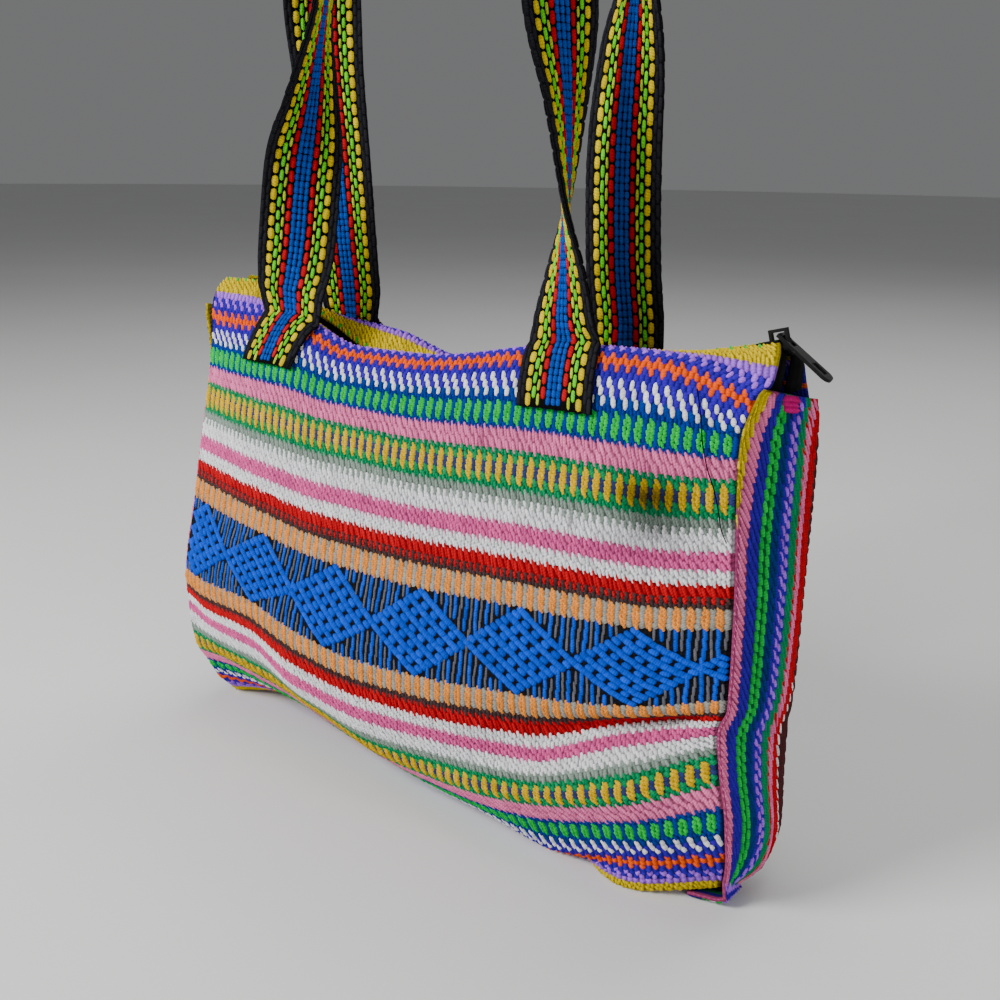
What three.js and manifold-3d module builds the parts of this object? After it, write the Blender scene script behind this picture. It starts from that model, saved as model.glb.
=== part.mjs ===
// A woven cotton shoulder bag: one long striped cloth folded round the bottom, two striped end
// gussets, two woven straps that are sewn to the outside of the panels, and a closed zip at the top.
// Millimetres, +Z up. The bag is laid out on a table frame (z = 0 under the bag, front towards -Y)
// and then hung so that the underside of the strap arch, where a shoulder carries it, is the origin.

import * as THREE from 'three';
import { mergeVertices } from 'three/addons/utils/BufferGeometryUtils.js';
import Module from 'manifold-3d';

const wasm = await Module();
wasm.setup();

// Driving dimensions
const CLOTH_THICK = 2.4;
const GUSSET_THICK = 2.2;
const STRAP_WIDTH = 38.5;
const STRAP_THICK = 2.6;
const SEAM_GAP = 0.4;
const SEW_GAP = 0.7;
const TAPE_THICK = 0.8;
const TAPE_GAP = 0.4;
const COIL_WIDTH = 4;
const COIL_HEIGHT = 2.2;

// Facets along the pieces
const BODY_COLUMNS = 22;
const CLOTH_ROWS = [
  { to: 27, rows: 6 },
  { to: 187, rows: 11 },
  { to: 223, rows: 6 },
  { to: 319, rows: 9 },
];
const GUSSET_ROWS = 18;
const GUSSET_COLUMNS = 6;
const STRAP_STEPS = 52;
const STRAP_COLUMNS = 3;
const COIL_STEPS = 72;

// Sections across the bag, from its left end to its right end (-1 to 1): left end, left lip,
// left strap, dip beside it, sag between the straps, right strap, right belly, right end
const STATIONS = [-1, -0.85, -0.6, -0.35, -0.1, 0.45, 0.75, 1];

// Front of the cloth, one row for each woven band that marks a level. at: cloth length from the zip,
// xl and xr: where the band ends at the gussets, y and z: its place at each section.
const FRONT = [
  {
    band: 'zip edge', at: 0, xl: -161, xr: 163,
    y: [-8, -8, -4, -4, -4, -4, -5, -6],
    z: [244, 244.5, 226, 209, 208.5, 219, 233, 243],
  },
  {
    band: 'lip', at: 11, xl: -162, xr: 166,
    y: [-13, -12, -10, -9, -9, -9, -11, -12],
    z: [240, 240, 229, 214, 214.5, 229, 236, 239.5],
  },
  {
    band: 'crest', at: 22, xl: -163, xr: 168.6,
    y: [-17, -17, -16, -15, -15, -16, -19, -22],
    z: [233, 232.5, 230, 218.5, 219.5, 234, 236, 230],
  },
  {
    band: 'purple', at: 30, xl: -162.8, xr: 165.2,
    y: [-18.3, -19.7, -20, -19.3, -19.5, -20.5, -23.4, -25.6],
    z: [227.3, 226.8, 228.1, 217.2, 218.1, 232, 233.9, 224.7],
  },
  {
    band: 'green', at: 61, xl: -161, xr: 163,
    y: [-22, -28, -33, -34, -35, -35, -36, -34],
    z: [203, 203, 203, 198.5, 198.5, 205, 206, 206],
  },
  {
    band: 'upper tan', at: 137, xl: -164, xr: 166.5,
    y: [-35, -40, -46, -49, -50, -48, -45, -36],
    z: [131, 129, 126, 123, 123, 128, 131, 137],
  },
  {
    band: 'lower tan', at: 191, xl: -169.5, xr: 167.5,
    y: [-41.5, -50, -56, -60.5, -58, -51.5, -47, -37.5],
    z: [78.5, 79, 80.5, 74, 69, 77, 87, 100],
  },
  {
    band: 'lower mauve', at: 217, xl: -168.5, xr: 164.5,
    y: [-41.5, -46, -51.5, -60.5, -58, -48.5, -44.5, -38.5],
    z: [61.5, 57.5, 58, 51, 46, 51.5, 73, 89],
  },
  {
    band: 'lower gold', at: 243, xl: -168.5, xr: 166.5,
    y: [-38.5, -39.5, -42.5, -45.5, -50, -55, -52.5, -39],
    z: [38, 37.5, 35.5, 29.5, 24.5, 36, 52.5, 73],
  },
  {
    band: 'lower green', at: 267, xl: -163, xr: 170,
    y: [-33.5, -29.5, -30, -32, -36.5, -46, -46.5, -37.5],
    z: [24, 23, 20, 14.5, 10, 16.5, 32, 49],
  },
  {
    band: 'lower orange', at: 293, xl: -162.5, xr: 168.5,
    y: [-29, -20.5, -14.5, -16.5, -20.5, -34, -40.5, -31],
    z: [14.5, 13, 9.5, 4, 0.2, 0.2, 14, 27],
  },
  {
    band: 'bottom fold', at: 319, xl: -161.5, xr: 164,
    y: [-16.5, -7, 3, 3, 0, -16, -40.5, -23],
    z: [0.6, 3.5, 0.5, 0, 0, 0, 0, 7],
  },
];

// Back of the cloth, the same bands
const BACK = [
  {
    band: 'zip edge', at: 0, xl: -161, xr: 163,
    y: [8, 8, 4, 4, 4, 4, 5, 6],
    z: [244, 244.5, 226, 209, 208.5, 219, 233, 243],
  },
  {
    band: 'lip', at: 11, xl: -162, xr: 162,
    y: [13, 12, 10, 9, 9, 9, 11, 12],
    z: [239, 238, 228, 218, 213, 221, 233, 238],
  },
  {
    band: 'crest', at: 22, xl: -163, xr: 161,
    y: [17, 17, 17, 16, 16, 17, 20, 26],
    z: [231, 229, 226, 223, 214, 222, 230, 229],
  },
  {
    band: 'green', at: 61, xl: -161, xr: 163.5,
    y: [24, 29, 33, 35, 35, 35, 35, 31.5],
    z: [201, 200, 198, 195, 189, 196, 201, 205],
  },
  {
    band: 'upper tan', at: 137, xl: -164, xr: 168,
    y: [34, 40, 45, 48, 49, 48, 41, 21.5],
    z: [130, 128, 125, 122, 121, 124, 128, 137],
  },
  {
    band: 'lower tan', at: 191, xl: -169.5, xr: 167.5,
    y: [38, 44, 50, 54, 55, 53, 43, 21.5],
    z: [78, 77, 76, 73, 72, 75, 80, 88],
  },
  {
    band: 'lower mauve', at: 217, xl: -168.5, xr: 164.5,
    y: [35, 41, 47, 51.5, 52.5, 50, 40, 25],
    z: [55.5, 55, 54.5, 51.5, 50.5, 52.5, 56.5, 65],
  },
  {
    band: 'lower gold', at: 243, xl: -168.5, xr: 166.5,
    y: [30, 36, 43, 48, 49, 45, 33.5, 21],
    z: [34, 34, 34, 32, 31, 32, 35, 43],
  },
  {
    band: 'lower green', at: 267, xl: -163, xr: 170,
    y: [21, 28, 35, 38, 38, 32, 17, 12.5],
    z: [16, 16, 15, 14, 13, 14, 17, 20.5],
  },
  {
    band: 'lower orange', at: 293, xl: -162.5, xr: 168.5,
    y: [1, 11, 20, 21, 20, 8, -16, -3],
    z: [4, 5, 3, 2, 2, 2.5, 4.5, 7.5],
  },
  {
    band: 'bottom fold', at: 319, xl: -161.5, xr: 164,
    y: [-16.5, -7, 3, 3, 0, -16, -40.5, -23],
    z: [0.6, 3.5, 0.5, 0, 0, 0, 0, 7],
  },
];

// The tuck that the sagging cloth makes in the lower right of the front, deepest short of the seam
const TUCK = { at: 205, reach: 17, depth: 9, from: 0.3, to: 0.8, fade: 0.85 };

// End gussets. sign: which end, front and back: cloth length where the hem meets each panel,
// swell: how far the middle bows out, ear: how far the top front corner flares out.
const GUSSETS = [
  { name: 'gusset_left', sign: -1, front: 27, back: 34, swell: 3, ear: 5, tongue: [] },
  {
    name: 'gusset_right', sign: 1, front: 27, back: 46, swell: 3, ear: 0,
    tongue: [
      { x: 167.2, z: 5.2, near: -26.5, far: -12, tilt: 35 },
      { x: 164, z: 3.8, near: -26.5, far: -10, tilt: 90 },
      { x: 151, z: 3.4, near: -29, far: -14, tilt: 90 },
    ],
  },
];
const GUSSET_FOOT = 311;
const GUSSET_LAP = 1.6;
const EAR_REACH = 0.14;

// Straps. sewn: cloth length of the lower end and of the point where the strap leaves the panel,
// left and right: the middle line of each sewn end, at its foot and where it leaves the panel. rows: the
// free loop from left to right, with the place of the middle line and how far the face has turned
// inwards, in degrees.
const SEWN = { end: 58, leave: 27, steps: 4 };
const STRAPS = [
  {
    name: 'strap_front', face: FRONT, side: -1,
    left: { foot: -104, leave: -98 }, right: { foot: 78, leave: 71 },
    rows: [
      { x: -97.5, y: -20, z: 243, turn: 14 },
      { x: -95.5, y: -17.5, z: 262, turn: 36 },
      { x: -90, y: -16, z: 302, turn: 54 },
      { x: -84, y: -15, z: 332, turn: 92 },
      { x: -74.5, y: -14, z: 379, turn: 124 },
      { x: -68, y: -9, z: 416, turn: 104 },
      { x: -46, y: -4, z: 454, turn: 90 },
      { x: -7, y: -3, z: 472, turn: 90 },
      { x: 32, y: -4, z: 454, turn: 90 },
      { x: 54, y: -9, z: 416, turn: 98 },
      { x: 60.5, y: -14, z: 374, turn: 108 },
      { x: 65.5, y: -15, z: 330, turn: 80 },
      { x: 67.5, y: -16, z: 290, turn: 56 },
      { x: 69, y: -17.5, z: 260, turn: 28 },
      { x: 70, y: -20, z: 241, turn: 12 },
    ],
  },
  {
    name: 'strap_back', face: BACK, side: 1,
    left: { foot: -95, leave: -95 }, right: { foot: 77, leave: 77 },
    rows: [
      { x: -95, y: 20, z: 238, turn: 8 },
      { x: -96, y: 18, z: 262, turn: 12 },
      { x: -99, y: 16, z: 310, turn: 16 },
      { x: -102, y: 14, z: 352, turn: 24 },
      { x: -101, y: 11, z: 390, turn: 52 },
      { x: -88, y: 6, z: 432, turn: 86 },
      { x: -56, y: 3, z: 463, turn: 90 },
      { x: -8, y: 2, z: 475.4, turn: 90 },
      { x: 40, y: 3, z: 463, turn: 90 },
      { x: 71, y: 6, z: 432, turn: 86 },
      { x: 80, y: 12, z: 390, turn: 48 },
      { x: 77, y: 15, z: 352, turn: 14 },
      { x: 74, y: 17, z: 310, turn: 2 },
      { x: 75, y: 19, z: 262, turn: 0 },
      { x: 77, y: 21, z: 238, turn: 0 },
    ],
  },
];

// Zip tape: under: cloth length reached under each lip, ends: beyond the lips the tape turns down
// over the end of the bag (left and right: past the lip at each end, drop: below it, tilt of its
// face, in degrees, flap: places across the tape, spread: how much wider they are at the right end).
const TAPE = {
  inner: 2.5,
  under: [0, 4.5, 9],
  least: 0.7,
  ends: [
    { left: 0.9, right: 2.2, drop: 2.5, tilt: 40, flap: [4.2, 6.4, 8.6], spread: 1.15 },
    { left: 1.4, right: 2, drop: 9, tilt: 80, flap: [5, 8, 11], spread: 1.4 },
    { left: 1.5, right: 0.2, drop: 20, tilt: 90, flap: [5.5, 9.5, 13.5], spread: 1.4 },
  ],
};

// Zip slider: two plates round the coil with a narrow nose, and a bail over the nose
const SLIDER = { x: 159, tail: 6.5, wide: 3, nose: 7, half: 4, slim: 1, plate: 1.3, opening: 4.2 };
const BAIL = { from: -1.5, to: 6.6, rise: 4.3, wire: 1.3 };
const COIL_SPAN = { from: -156, to: 160 };

// Zip pull, lying out from the bail and down
const PULL = {
  hinge: 3.4, lift: 1.55, length: 27, half: 3.3, thick: 1.5, eye: 0.75, window: 7.2, slot: 1.6,
};
const PULL_ARM = 1.6;
const PULL_REST_DEG = 35;

// Colours of the pieces
const LOOKS = {
  body: { color: 0x2f62b5, roughness: 0.95, metalness: 0 },
  gusset: { color: 0x3a3a9c, roughness: 0.95, metalness: 0 },
  strap: { color: 0xb9b632, roughness: 0.9, metalness: 0 },
  tape: { color: 0x121214, roughness: 0.95, metalness: 0 },
  coil: { color: 0x18181a, roughness: 0.6, metalness: 0 },
  metal: { color: 0x1b1b1d, roughness: 0.45, metalness: 0.7 },
};

// Smooth curve through a table's values that never swings past them
function slopes(knots, values) {
  const rise = values.slice(1).map((v, i) => (v - values[i]) / (knots[i + 1] - knots[i]));
  return values.map((_, i) => {
    if (i === 0) return rise[0];
    if (i === values.length - 1) return rise[i - 1];
    const before = rise[i - 1];
    const after = rise[i];
    return before * after <= 0 ? 0 : (2 * before * after) / (before + after);
  });
}

function through(knots, values, at) {
  const last = knots.length - 2;
  let i = 0;
  while (i < last && at > knots[i + 1]) i += 1;
  const gap = knots[i + 1] - knots[i];
  const t = Math.min(Math.max((at - knots[i]) / gap, 0), 1);
  const m = slopes(knots, values);
  const t2 = t * t;
  const t3 = t2 * t;
  return (2 * t3 - 3 * t2 + 1) * values[i] + (t3 - 2 * t2 + t) * gap * m[i]
    + (3 * t2 - 2 * t3) * values[i + 1] + (t3 - t2) * gap * m[i + 1];
}

const smooth = (from, to, at) => THREE.MathUtils.smoothstep(at, from, to);

// Outer face of the cloth at a section s (-1 to 1) and a cloth length c from the zip edge
function cloth(face, s, c) {
  const levels = face.map((row) => row.at);
  const column = (pick) => through(levels, face.map(pick), c);
  const xl = column((row) => row.xl);
  const xr = column((row) => row.xr);
  const point = new THREE.Vector3(
    xl + ((xr - xl) * (s + 1)) / 2,
    column((row) => through(STATIONS, row.y, s)),
    column((row) => through(STATIONS, row.z, s)),
  );
  if (face === FRONT) {
    const away = Math.min(Math.abs(c - TUCK.at) / TUCK.reach, 1);
    const hollow = Math.cos((away * Math.PI) / 2) ** 2;
    const span = smooth(TUCK.from, TUCK.to, s) * (1 - smooth(TUCK.fade, 1, s));
    point.y += TUCK.depth * hollow * span;
  }
  return point;
}

function sectionAt(face, x, c) {
  const levels = face.map((row) => row.at);
  const xl = through(levels, face.map((row) => row.xl), c);
  const xr = through(levels, face.map((row) => row.xr), c);
  return (2 * (x - xl)) / (xr - xl) - 1;
}

// Direction out of the cloth
function outward(face, s, c) {
  const step = 0.02;
  const span = 1.5;
  const last = face[face.length - 1].at;
  const along = cloth(face, Math.min(s + step, 1), c).sub(cloth(face, Math.max(s - step, -1), c));
  const down = cloth(face, s, Math.min(c + span, last)).sub(cloth(face, s, Math.max(c - span, 0)));
  const out = new THREE.Vector3().crossVectors(down, along).normalize();
  return face === FRONT ? out : out.negate();
}

// Closed wall between two grids of points, the outer one seen from outside
function wall(outer, inner) {
  const rows = outer.length;
  const columns = outer[0].length;
  const positions = [...outer.flat(), ...inner.flat()].flatMap((p) => [p.x, p.y, p.z]);
  const offset = rows * columns;
  const out = (i, j) => i * columns + j;
  const within = (i, j) => offset + i * columns + j;
  const index = [];
  const quad = (a, b, c, d) => index.push(a, b, c, a, c, d);
  for (let i = 0; i < rows - 1; i += 1) {
    for (let j = 0; j < columns - 1; j += 1) {
      quad(out(i, j), out(i, j + 1), out(i + 1, j + 1), out(i + 1, j));
      quad(within(i, j), within(i + 1, j), within(i + 1, j + 1), within(i, j + 1));
    }
    quad(out(i, 0), out(i + 1, 0), within(i + 1, 0), within(i, 0));
    quad(out(i + 1, columns - 1), out(i, columns - 1), within(i, columns - 1), within(i + 1, columns - 1));
  }
  for (let j = 0; j < columns - 1; j += 1) {
    quad(out(0, j + 1), out(0, j), within(0, j), within(0, j + 1));
    quad(out(rows - 1, j), out(rows - 1, j + 1), within(rows - 1, j + 1), within(rows - 1, j));
  }
  const geometry = new THREE.BufferGeometry();
  geometry.setAttribute('position', new THREE.Float32BufferAttribute(positions, 3));
  geometry.setIndex(index);
  return facingOut(geometry);
}

// Turns a closed mesh so that its faces point out
function facingOut(geometry) {
  const position = geometry.attributes.position;
  const index = geometry.index.array;
  const [a, b, c] = [new THREE.Vector3(), new THREE.Vector3(), new THREE.Vector3()];
  let volume = 0;
  for (let i = 0; i < index.length; i += 3) {
    a.fromBufferAttribute(position, index[i]);
    b.fromBufferAttribute(position, index[i + 1]);
    c.fromBufferAttribute(position, index[i + 2]);
    volume += a.dot(b.cross(c));
  }
  if (volume < 0) {
    geometry.setIndex(Array.from(index).reverse());
  }
  return geometry;
}

function asMesh(name, geometry, look) {
  geometry.computeVertexNormals();
  const mesh = new THREE.Mesh(geometry, new THREE.MeshStandardMaterial(look));
  mesh.name = name;
  return mesh;
}

// Body cloth: zip edge, front, bottom fold, back, zip edge, in one piece
function bodyCloth() {
  const last = FRONT[FRONT.length - 1].at;
  const lengths = [0];
  CLOTH_ROWS.forEach(({ to, rows }) => {
    const from = lengths[lengths.length - 1];
    for (let i = 1; i <= rows; i += 1) lengths.push(THREE.MathUtils.lerp(from, to, i / rows));
  });
  const places = [
    ...lengths.map((c) => [FRONT, c]),
    ...lengths.slice(0, -1).reverse().map((c) => [BACK, c]),
  ];
  const outer = [];
  const inner = [];
  places.forEach(([face, c]) => {
    const row = [];
    const under = [];
    for (let j = 0; j <= BODY_COLUMNS; j += 1) {
      const s = (2 * j) / BODY_COLUMNS - 1;
      const point = cloth(face, s, c);
      const out = c === last ? new THREE.Vector3(0, 0, -1) : outward(face, s, c);
      out.x = 0;
      row.push(point);
      under.push(point.clone().addScaledVector(out.normalize(), -CLOTH_THICK));
    }
    outer.push(row);
    inner.push(under);
  });
  return asMesh('body_cloth', wall(outer, inner), LOOKS.body);
}

// Gusset: a strip across the end of the bag, tapering to the bottom, with a tongue turned under
function gusset({ name, sign, front, back, swell, ear, tongue }) {
  const outer = [];
  const inner = [];
  const addRow = (pointAt, out) => {
    const under = [];
    const over = [];
    for (let j = 0; j <= GUSSET_COLUMNS; j += 1) {
      const point = pointAt(j / GUSSET_COLUMNS);
      under.push(point);
      over.push(point.clone().addScaledVector(out, GUSSET_THICK));
    }
    inner.push(under);
    outer.push(over);
  };
  for (let i = 0; i <= GUSSET_ROWS; i += 1) {
    const t = i / GUSSET_ROWS;
    const near = cloth(FRONT, sign, THREE.MathUtils.lerp(front, GUSSET_FOOT, t));
    const far = cloth(BACK, sign, THREE.MathUtils.lerp(back, GUSSET_FOOT, t));
    addRow((w) => {
      const point = near.clone().lerp(far, w);
      const bow = swell * 4 * w * (1 - w) * smooth(0, 0.15, t) * (1 - smooth(0.8, 1, t));
      const flare = ear * (1 - smooth(0, EAR_REACH, t)) * (1 - smooth(0, 0.5, w));
      point.y += GUSSET_LAP * (2 * w - 1);
      point.x += sign * (SEAM_GAP + bow + flare);
      return point;
    }, new THREE.Vector3(sign, 0, 0));
  }
  tongue.forEach(({ x, z, near, far, tilt }) => {
    const angle = THREE.MathUtils.degToRad(tilt);
    const out = new THREE.Vector3(sign * Math.cos(angle), 0, -Math.sin(angle));
    addRow((w) => new THREE.Vector3(x, THREE.MathUtils.lerp(near, far, w), z), out);
  });
  return asMesh(name, wall(outer, inner), LOOKS.gusset);
}

// Strap: sewn flat on the panel at both ends, turning inwards up both legs, over in an arch
function strap({ name, face, side, left, right, rows }) {
  const front = [];
  const rear = [];
  const across = (j) => STRAP_WIDTH * (j / STRAP_COLUMNS - 0.5);

  const sewnRow = ({ foot, leave }, i, turn) => {
    const c = THREE.MathUtils.lerp(SEWN.end, SEWN.leave, i / SEWN.steps);
    const middle = THREE.MathUtils.lerp(foot, leave, i / SEWN.steps);
    const high = [];
    const low = [];
    for (let j = 0; j <= STRAP_COLUMNS; j += 1) {
      const s = sectionAt(face, middle + turn * across(j), c);
      const point = cloth(face, s, c);
      const out = outward(face, s, c);
      low.push(point.clone().addScaledVector(out, SEW_GAP));
      high.push(point.clone().addScaledVector(out, SEW_GAP + STRAP_THICK));
    }
    front.push(side < 0 ? high : low);
    rear.push(side < 0 ? low : high);
  };

  for (let i = 0; i <= SEWN.steps; i += 1) sewnRow(left, i, 1);

  const path = new THREE.CatmullRomCurve3(rows.map((row) => new THREE.Vector3(row.x, row.y, row.z)));
  const knots = rows.map((_, i) => i);
  const turns = rows.map((row) => THREE.MathUtils.degToRad(row.turn));
  for (let i = 0; i <= STRAP_STEPS; i += 1) {
    const t = i / STRAP_STEPS;
    const centre = path.getPoint(t);
    const along = path.getTangent(t);
    const turn = through(knots, turns, t * (rows.length - 1));
    const inwards = new THREE.Vector3(along.z, 0, -along.x).normalize();
    const facing = new THREE.Vector3(0, -Math.cos(turn), 0).addScaledVector(inwards, Math.sin(turn));
    facing.addScaledVector(along, -facing.dot(along)).normalize();
    const wide = new THREE.Vector3().crossVectors(along, facing);
    const near = [];
    const far = [];
    for (let j = 0; j <= STRAP_COLUMNS; j += 1) {
      const point = centre.clone().addScaledVector(wide, across(j));
      near.push(point.clone().addScaledVector(facing, STRAP_THICK / 2));
      far.push(point.clone().addScaledVector(facing, -STRAP_THICK / 2));
    }
    front.push(near);
    rear.push(far);
  }

  for (let i = SEWN.steps; i >= 0; i -= 1) sewnRow(right, i, -1);
  return asMesh(name, wall(front, rear), LOOKS.strap);
}

// Underside of a lip, where the tape lies
function underLip(face, s, c) {
  const out = outward(face, s, c);
  out.x = 0;
  out.normalize();
  return { out, point: cloth(face, s, c).addScaledVector(out, -(CLOTH_THICK + TAPE_GAP)) };
}

function zipHeight(s) {
  const heights = [FRONT, BACK].map((face) => underLip(face, s, TAPE.under[0]).point.z);
  return Math.min(...heights) - TAPE_GAP;
}

// Zip tape: under the lip along the top, turned down over both ends of the bag
function zipTape(name, face, side) {
  const top = [];
  const bottom = [];
  const upright = new THREE.Vector3(0, 0, 1);
  const addRow = (cells) => {
    const lay = side < 0 ? cells : [...cells].reverse();
    top.push(lay.map(({ point }) => point));
    bottom.push(lay.map(({ point, out }) => point.clone().addScaledVector(out, -TAPE_THICK)));
  };
  const addEnd = (sign, { left, right, drop, tilt, flap, spread }) => {
    const edge = cloth(face, sign, 0).x + (sign < 0 ? -left : right);
    const angle = THREE.MathUtils.degToRad(tilt);
    const facing = new THREE.Vector3(sign * Math.sin(angle), 0, Math.cos(angle));
    addRow([TAPE.inner, ...flap.map((y) => (sign < 0 ? y : y * spread))].map((y) => ({
      out: facing,
      point: new THREE.Vector3(edge, side * y, zipHeight(sign) - drop),
    })));
  };

  [...TAPE.ends].reverse().forEach((row) => addEnd(-1, row));
  for (let i = 0; i <= BODY_COLUMNS; i += 1) {
    const s = (2 * i) / BODY_COLUMNS - 1;
    const lie = TAPE.under.map((c) => underLip(face, s, c));
    lie.forEach(({ point }, k) => {
      point.y = side * Math.max(Math.abs(point.y), TAPE.inner + TAPE.least * (k + 1));
    });
    const x = lie[0].point.x;
    addRow([{ out: upright, point: new THREE.Vector3(x, side * TAPE.inner, zipHeight(s)) }, ...lie]);
  }
  TAPE.ends.forEach((row) => addEnd(1, row));
  return asMesh(name, wall(top, bottom), LOOKS.tape);
}

// Zip coil: closed teeth in a ribbed strip along the middle
function zipCoil() {
  const top = [];
  const bottom = [];
  for (let i = 0; i <= COIL_STEPS; i += 1) {
    const x = THREE.MathUtils.lerp(COIL_SPAN.from, COIL_SPAN.to, i / COIL_STEPS);
    const z = zipHeight(sectionAt(FRONT, x, 0)) - TAPE_THICK / 2;
    const half = (COIL_WIDTH / 2) * (i % 2 ? 0.75 : 1);
    const lift = (COIL_HEIGHT / 2) * (i % 2 ? 0.75 : 1);
    top.push([new THREE.Vector3(x, -half, z + lift), new THREE.Vector3(x, half, z + lift)]);
    bottom.push([new THREE.Vector3(x, -half, z - lift), new THREE.Vector3(x, half, z - lift)]);
  }
  return asMesh('zip_coil', wall(top, bottom), LOOKS.coil);
}

// Solids that are joined from simple shapes
function solid(geometry) {
  const bare = geometry.index ? geometry.toNonIndexed() : geometry.clone();
  bare.deleteAttribute('normal');
  bare.deleteAttribute('uv');
  const merged = mergeVertices(bare, 1e-4);
  return new wasm.Manifold(new wasm.Mesh({
    numProp: 3,
    vertProperties: new Float32Array(merged.attributes.position.array),
    triVerts: new Uint32Array(merged.index.array),
  }));
}

function fromSolid(body) {
  const mesh = body.getMesh();
  const geometry = new THREE.BufferGeometry();
  geometry.setAttribute('position', new THREE.Float32BufferAttribute(mesh.vertProperties, 3));
  geometry.setIndex(Array.from(mesh.triVerts));
  return geometry;
}

// Where the slider sits on the sloping zip, and the place of the pull's hinge on it
function sliderPlace() {
  const heightAt = (x) => zipHeight(sectionAt(FRONT, x, 0)) - TAPE_THICK / 2;
  const rise = Math.atan2(heightAt(SLIDER.x + 2) - heightAt(SLIDER.x - SLIDER.tail), SLIDER.tail + 2);
  return new THREE.Matrix4().makeTranslation(SLIDER.x, 0, heightAt(SLIDER.x))
    .multiply(new THREE.Matrix4().makeRotationY(-rise));
}

function hingePlace() {
  const top = SLIDER.opening / 2 + SLIDER.plate + PULL.lift;
  return new THREE.Vector3(PULL.hinge, 0, top).applyMatrix4(sliderPlace());
}

function zipSlider() {
  const { tail, wide, nose, half, slim, plate, opening } = SLIDER;
  const plan = new THREE.Shape([
    new THREE.Vector2(-tail, -half * 0.8),
    new THREE.Vector2(0, -half),
    new THREE.Vector2(wide, -half * 0.7),
    new THREE.Vector2(wide, -slim),
    new THREE.Vector2(nose, -slim),
    new THREE.Vector2(nose, slim),
    new THREE.Vector2(wide, slim),
    new THREE.Vector2(wide, half * 0.7),
    new THREE.Vector2(0, half),
    new THREE.Vector2(-tail, half * 0.8),
  ]);
  const slab = (height, z) => solid(
    new THREE.ExtrudeGeometry(plan, { depth: height, bevelEnabled: false }).translate(0, 0, z),
  );
  const post = solid(
    new THREE.BoxGeometry(nose - wide, 2 * slim, opening + plate).translate((nose + wide) / 2, 0, 0),
  );
  const { from, to, rise, wire } = BAIL;
  const seat = opening / 2 + plate;
  const bow = (x0, x1, height) => new THREE.BoxGeometry(x1 - x0, 2 * slim, height);
  const loop = solid(bow(from, to, rise + plate).translate((from + to) / 2, 0, seat + (rise - plate) / 2));
  const eye = solid(bow(from + wire, to - wire, rise - wire).scale(1, 2, 1)
    .translate((from + to) / 2, 0, seat + (rise - wire) / 2));
  const body = slab(plate, opening / 2)
    .add(slab(plate, -opening / 2 - plate))
    .add(post)
    .add(loop.subtract(eye));
  return asMesh('zip_slider', fromSolid(body).applyMatrix4(sliderPlace()), LOOKS.metal);
}

// Zip pull: a flat tab with a window round the bail and a slot near its tip
function zipPull() {
  const { length, half, thick, eye, window, slot } = PULL;
  const plan = new THREE.Shape();
  plan.moveTo(-eye, -half * 0.8);
  plan.lineTo(window + eye, -half * 0.9);
  plan.absarc(length - half, 0, half, -Math.PI / 2, Math.PI / 2, false);
  plan.lineTo(window + eye, half * 0.9);
  plan.lineTo(-eye, half * 0.8);
  const tab = new THREE.ExtrudeGeometry(plan, { depth: thick, bevelEnabled: false, curveSegments: 8 });
  const hole = (from, to, reach) => solid(
    new THREE.BoxGeometry(to - from, 2 * reach, 3 * thick).translate((from + to) / 2, 0, 0),
  );
  const body = solid(tab.translate(0, 0, -thick / 2))
    .subtract(hole(eye, window, PULL_ARM))
    .subtract(hole(length - 3 * half, length - half, slot));
  const geometry = fromSolid(body);
  geometry.rotateY(THREE.MathUtils.degToRad(PULL_REST_DEG));
  const place = hingePlace();
  geometry.translate(place.x, place.y, place.z);
  return asMesh('zip_pull', geometry, LOOKS.metal);
}

// The bag hangs from the underside of the front strap's arch, which is the origin
const carry = STRAPS[0].rows[Math.floor(STRAPS[0].rows.length / 2)];
const bag = new THREE.Group();
bag.position.set(-carry.x, -carry.y, STRAP_THICK / 2 - carry.z);
bag.add(bodyCloth());
GUSSETS.forEach((row) => bag.add(gusset(row)));
STRAPS.forEach((row) => bag.add(strap(row)));
bag.add(zipTape('zip_tape_front', FRONT, -1));
bag.add(zipTape('zip_tape_back', BACK, 1));
bag.add(zipCoil());
bag.add(zipSlider());
bag.add(zipPull());

const hung = new THREE.Group();
hung.add(bag);

export default hung;
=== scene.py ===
"""Looks of the woven shoulder bag: striped cloths with raised yarns, straps, zip, light and camera."""
import logging
import math
from dataclasses import dataclass, field
from enum import Enum

import bpy
import numpy as np
from mathutils import Matrix, Vector


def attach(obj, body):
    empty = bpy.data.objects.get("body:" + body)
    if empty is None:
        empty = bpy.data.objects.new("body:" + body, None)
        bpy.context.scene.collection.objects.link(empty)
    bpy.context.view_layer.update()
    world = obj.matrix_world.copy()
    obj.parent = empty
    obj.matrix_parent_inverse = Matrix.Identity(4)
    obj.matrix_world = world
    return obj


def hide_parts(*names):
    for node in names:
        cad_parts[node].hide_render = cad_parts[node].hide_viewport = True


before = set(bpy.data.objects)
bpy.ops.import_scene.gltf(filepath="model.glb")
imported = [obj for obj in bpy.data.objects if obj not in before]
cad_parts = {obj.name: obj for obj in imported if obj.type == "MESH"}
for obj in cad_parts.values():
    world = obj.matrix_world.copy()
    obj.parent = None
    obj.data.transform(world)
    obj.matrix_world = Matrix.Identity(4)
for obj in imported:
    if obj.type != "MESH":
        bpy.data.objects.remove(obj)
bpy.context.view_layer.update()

log = logging.getLogger("woven_bag")

MM = 0.001
# From the bag's own table frame, z = 0 under the bag, to the frame of the part, in millimetres.
HUNG = np.array([7.0, 3.0, -470.7])
# Half the woven width that the across coordinate of the body cloth spans.
HALF_CLOTH = 166.0
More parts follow.
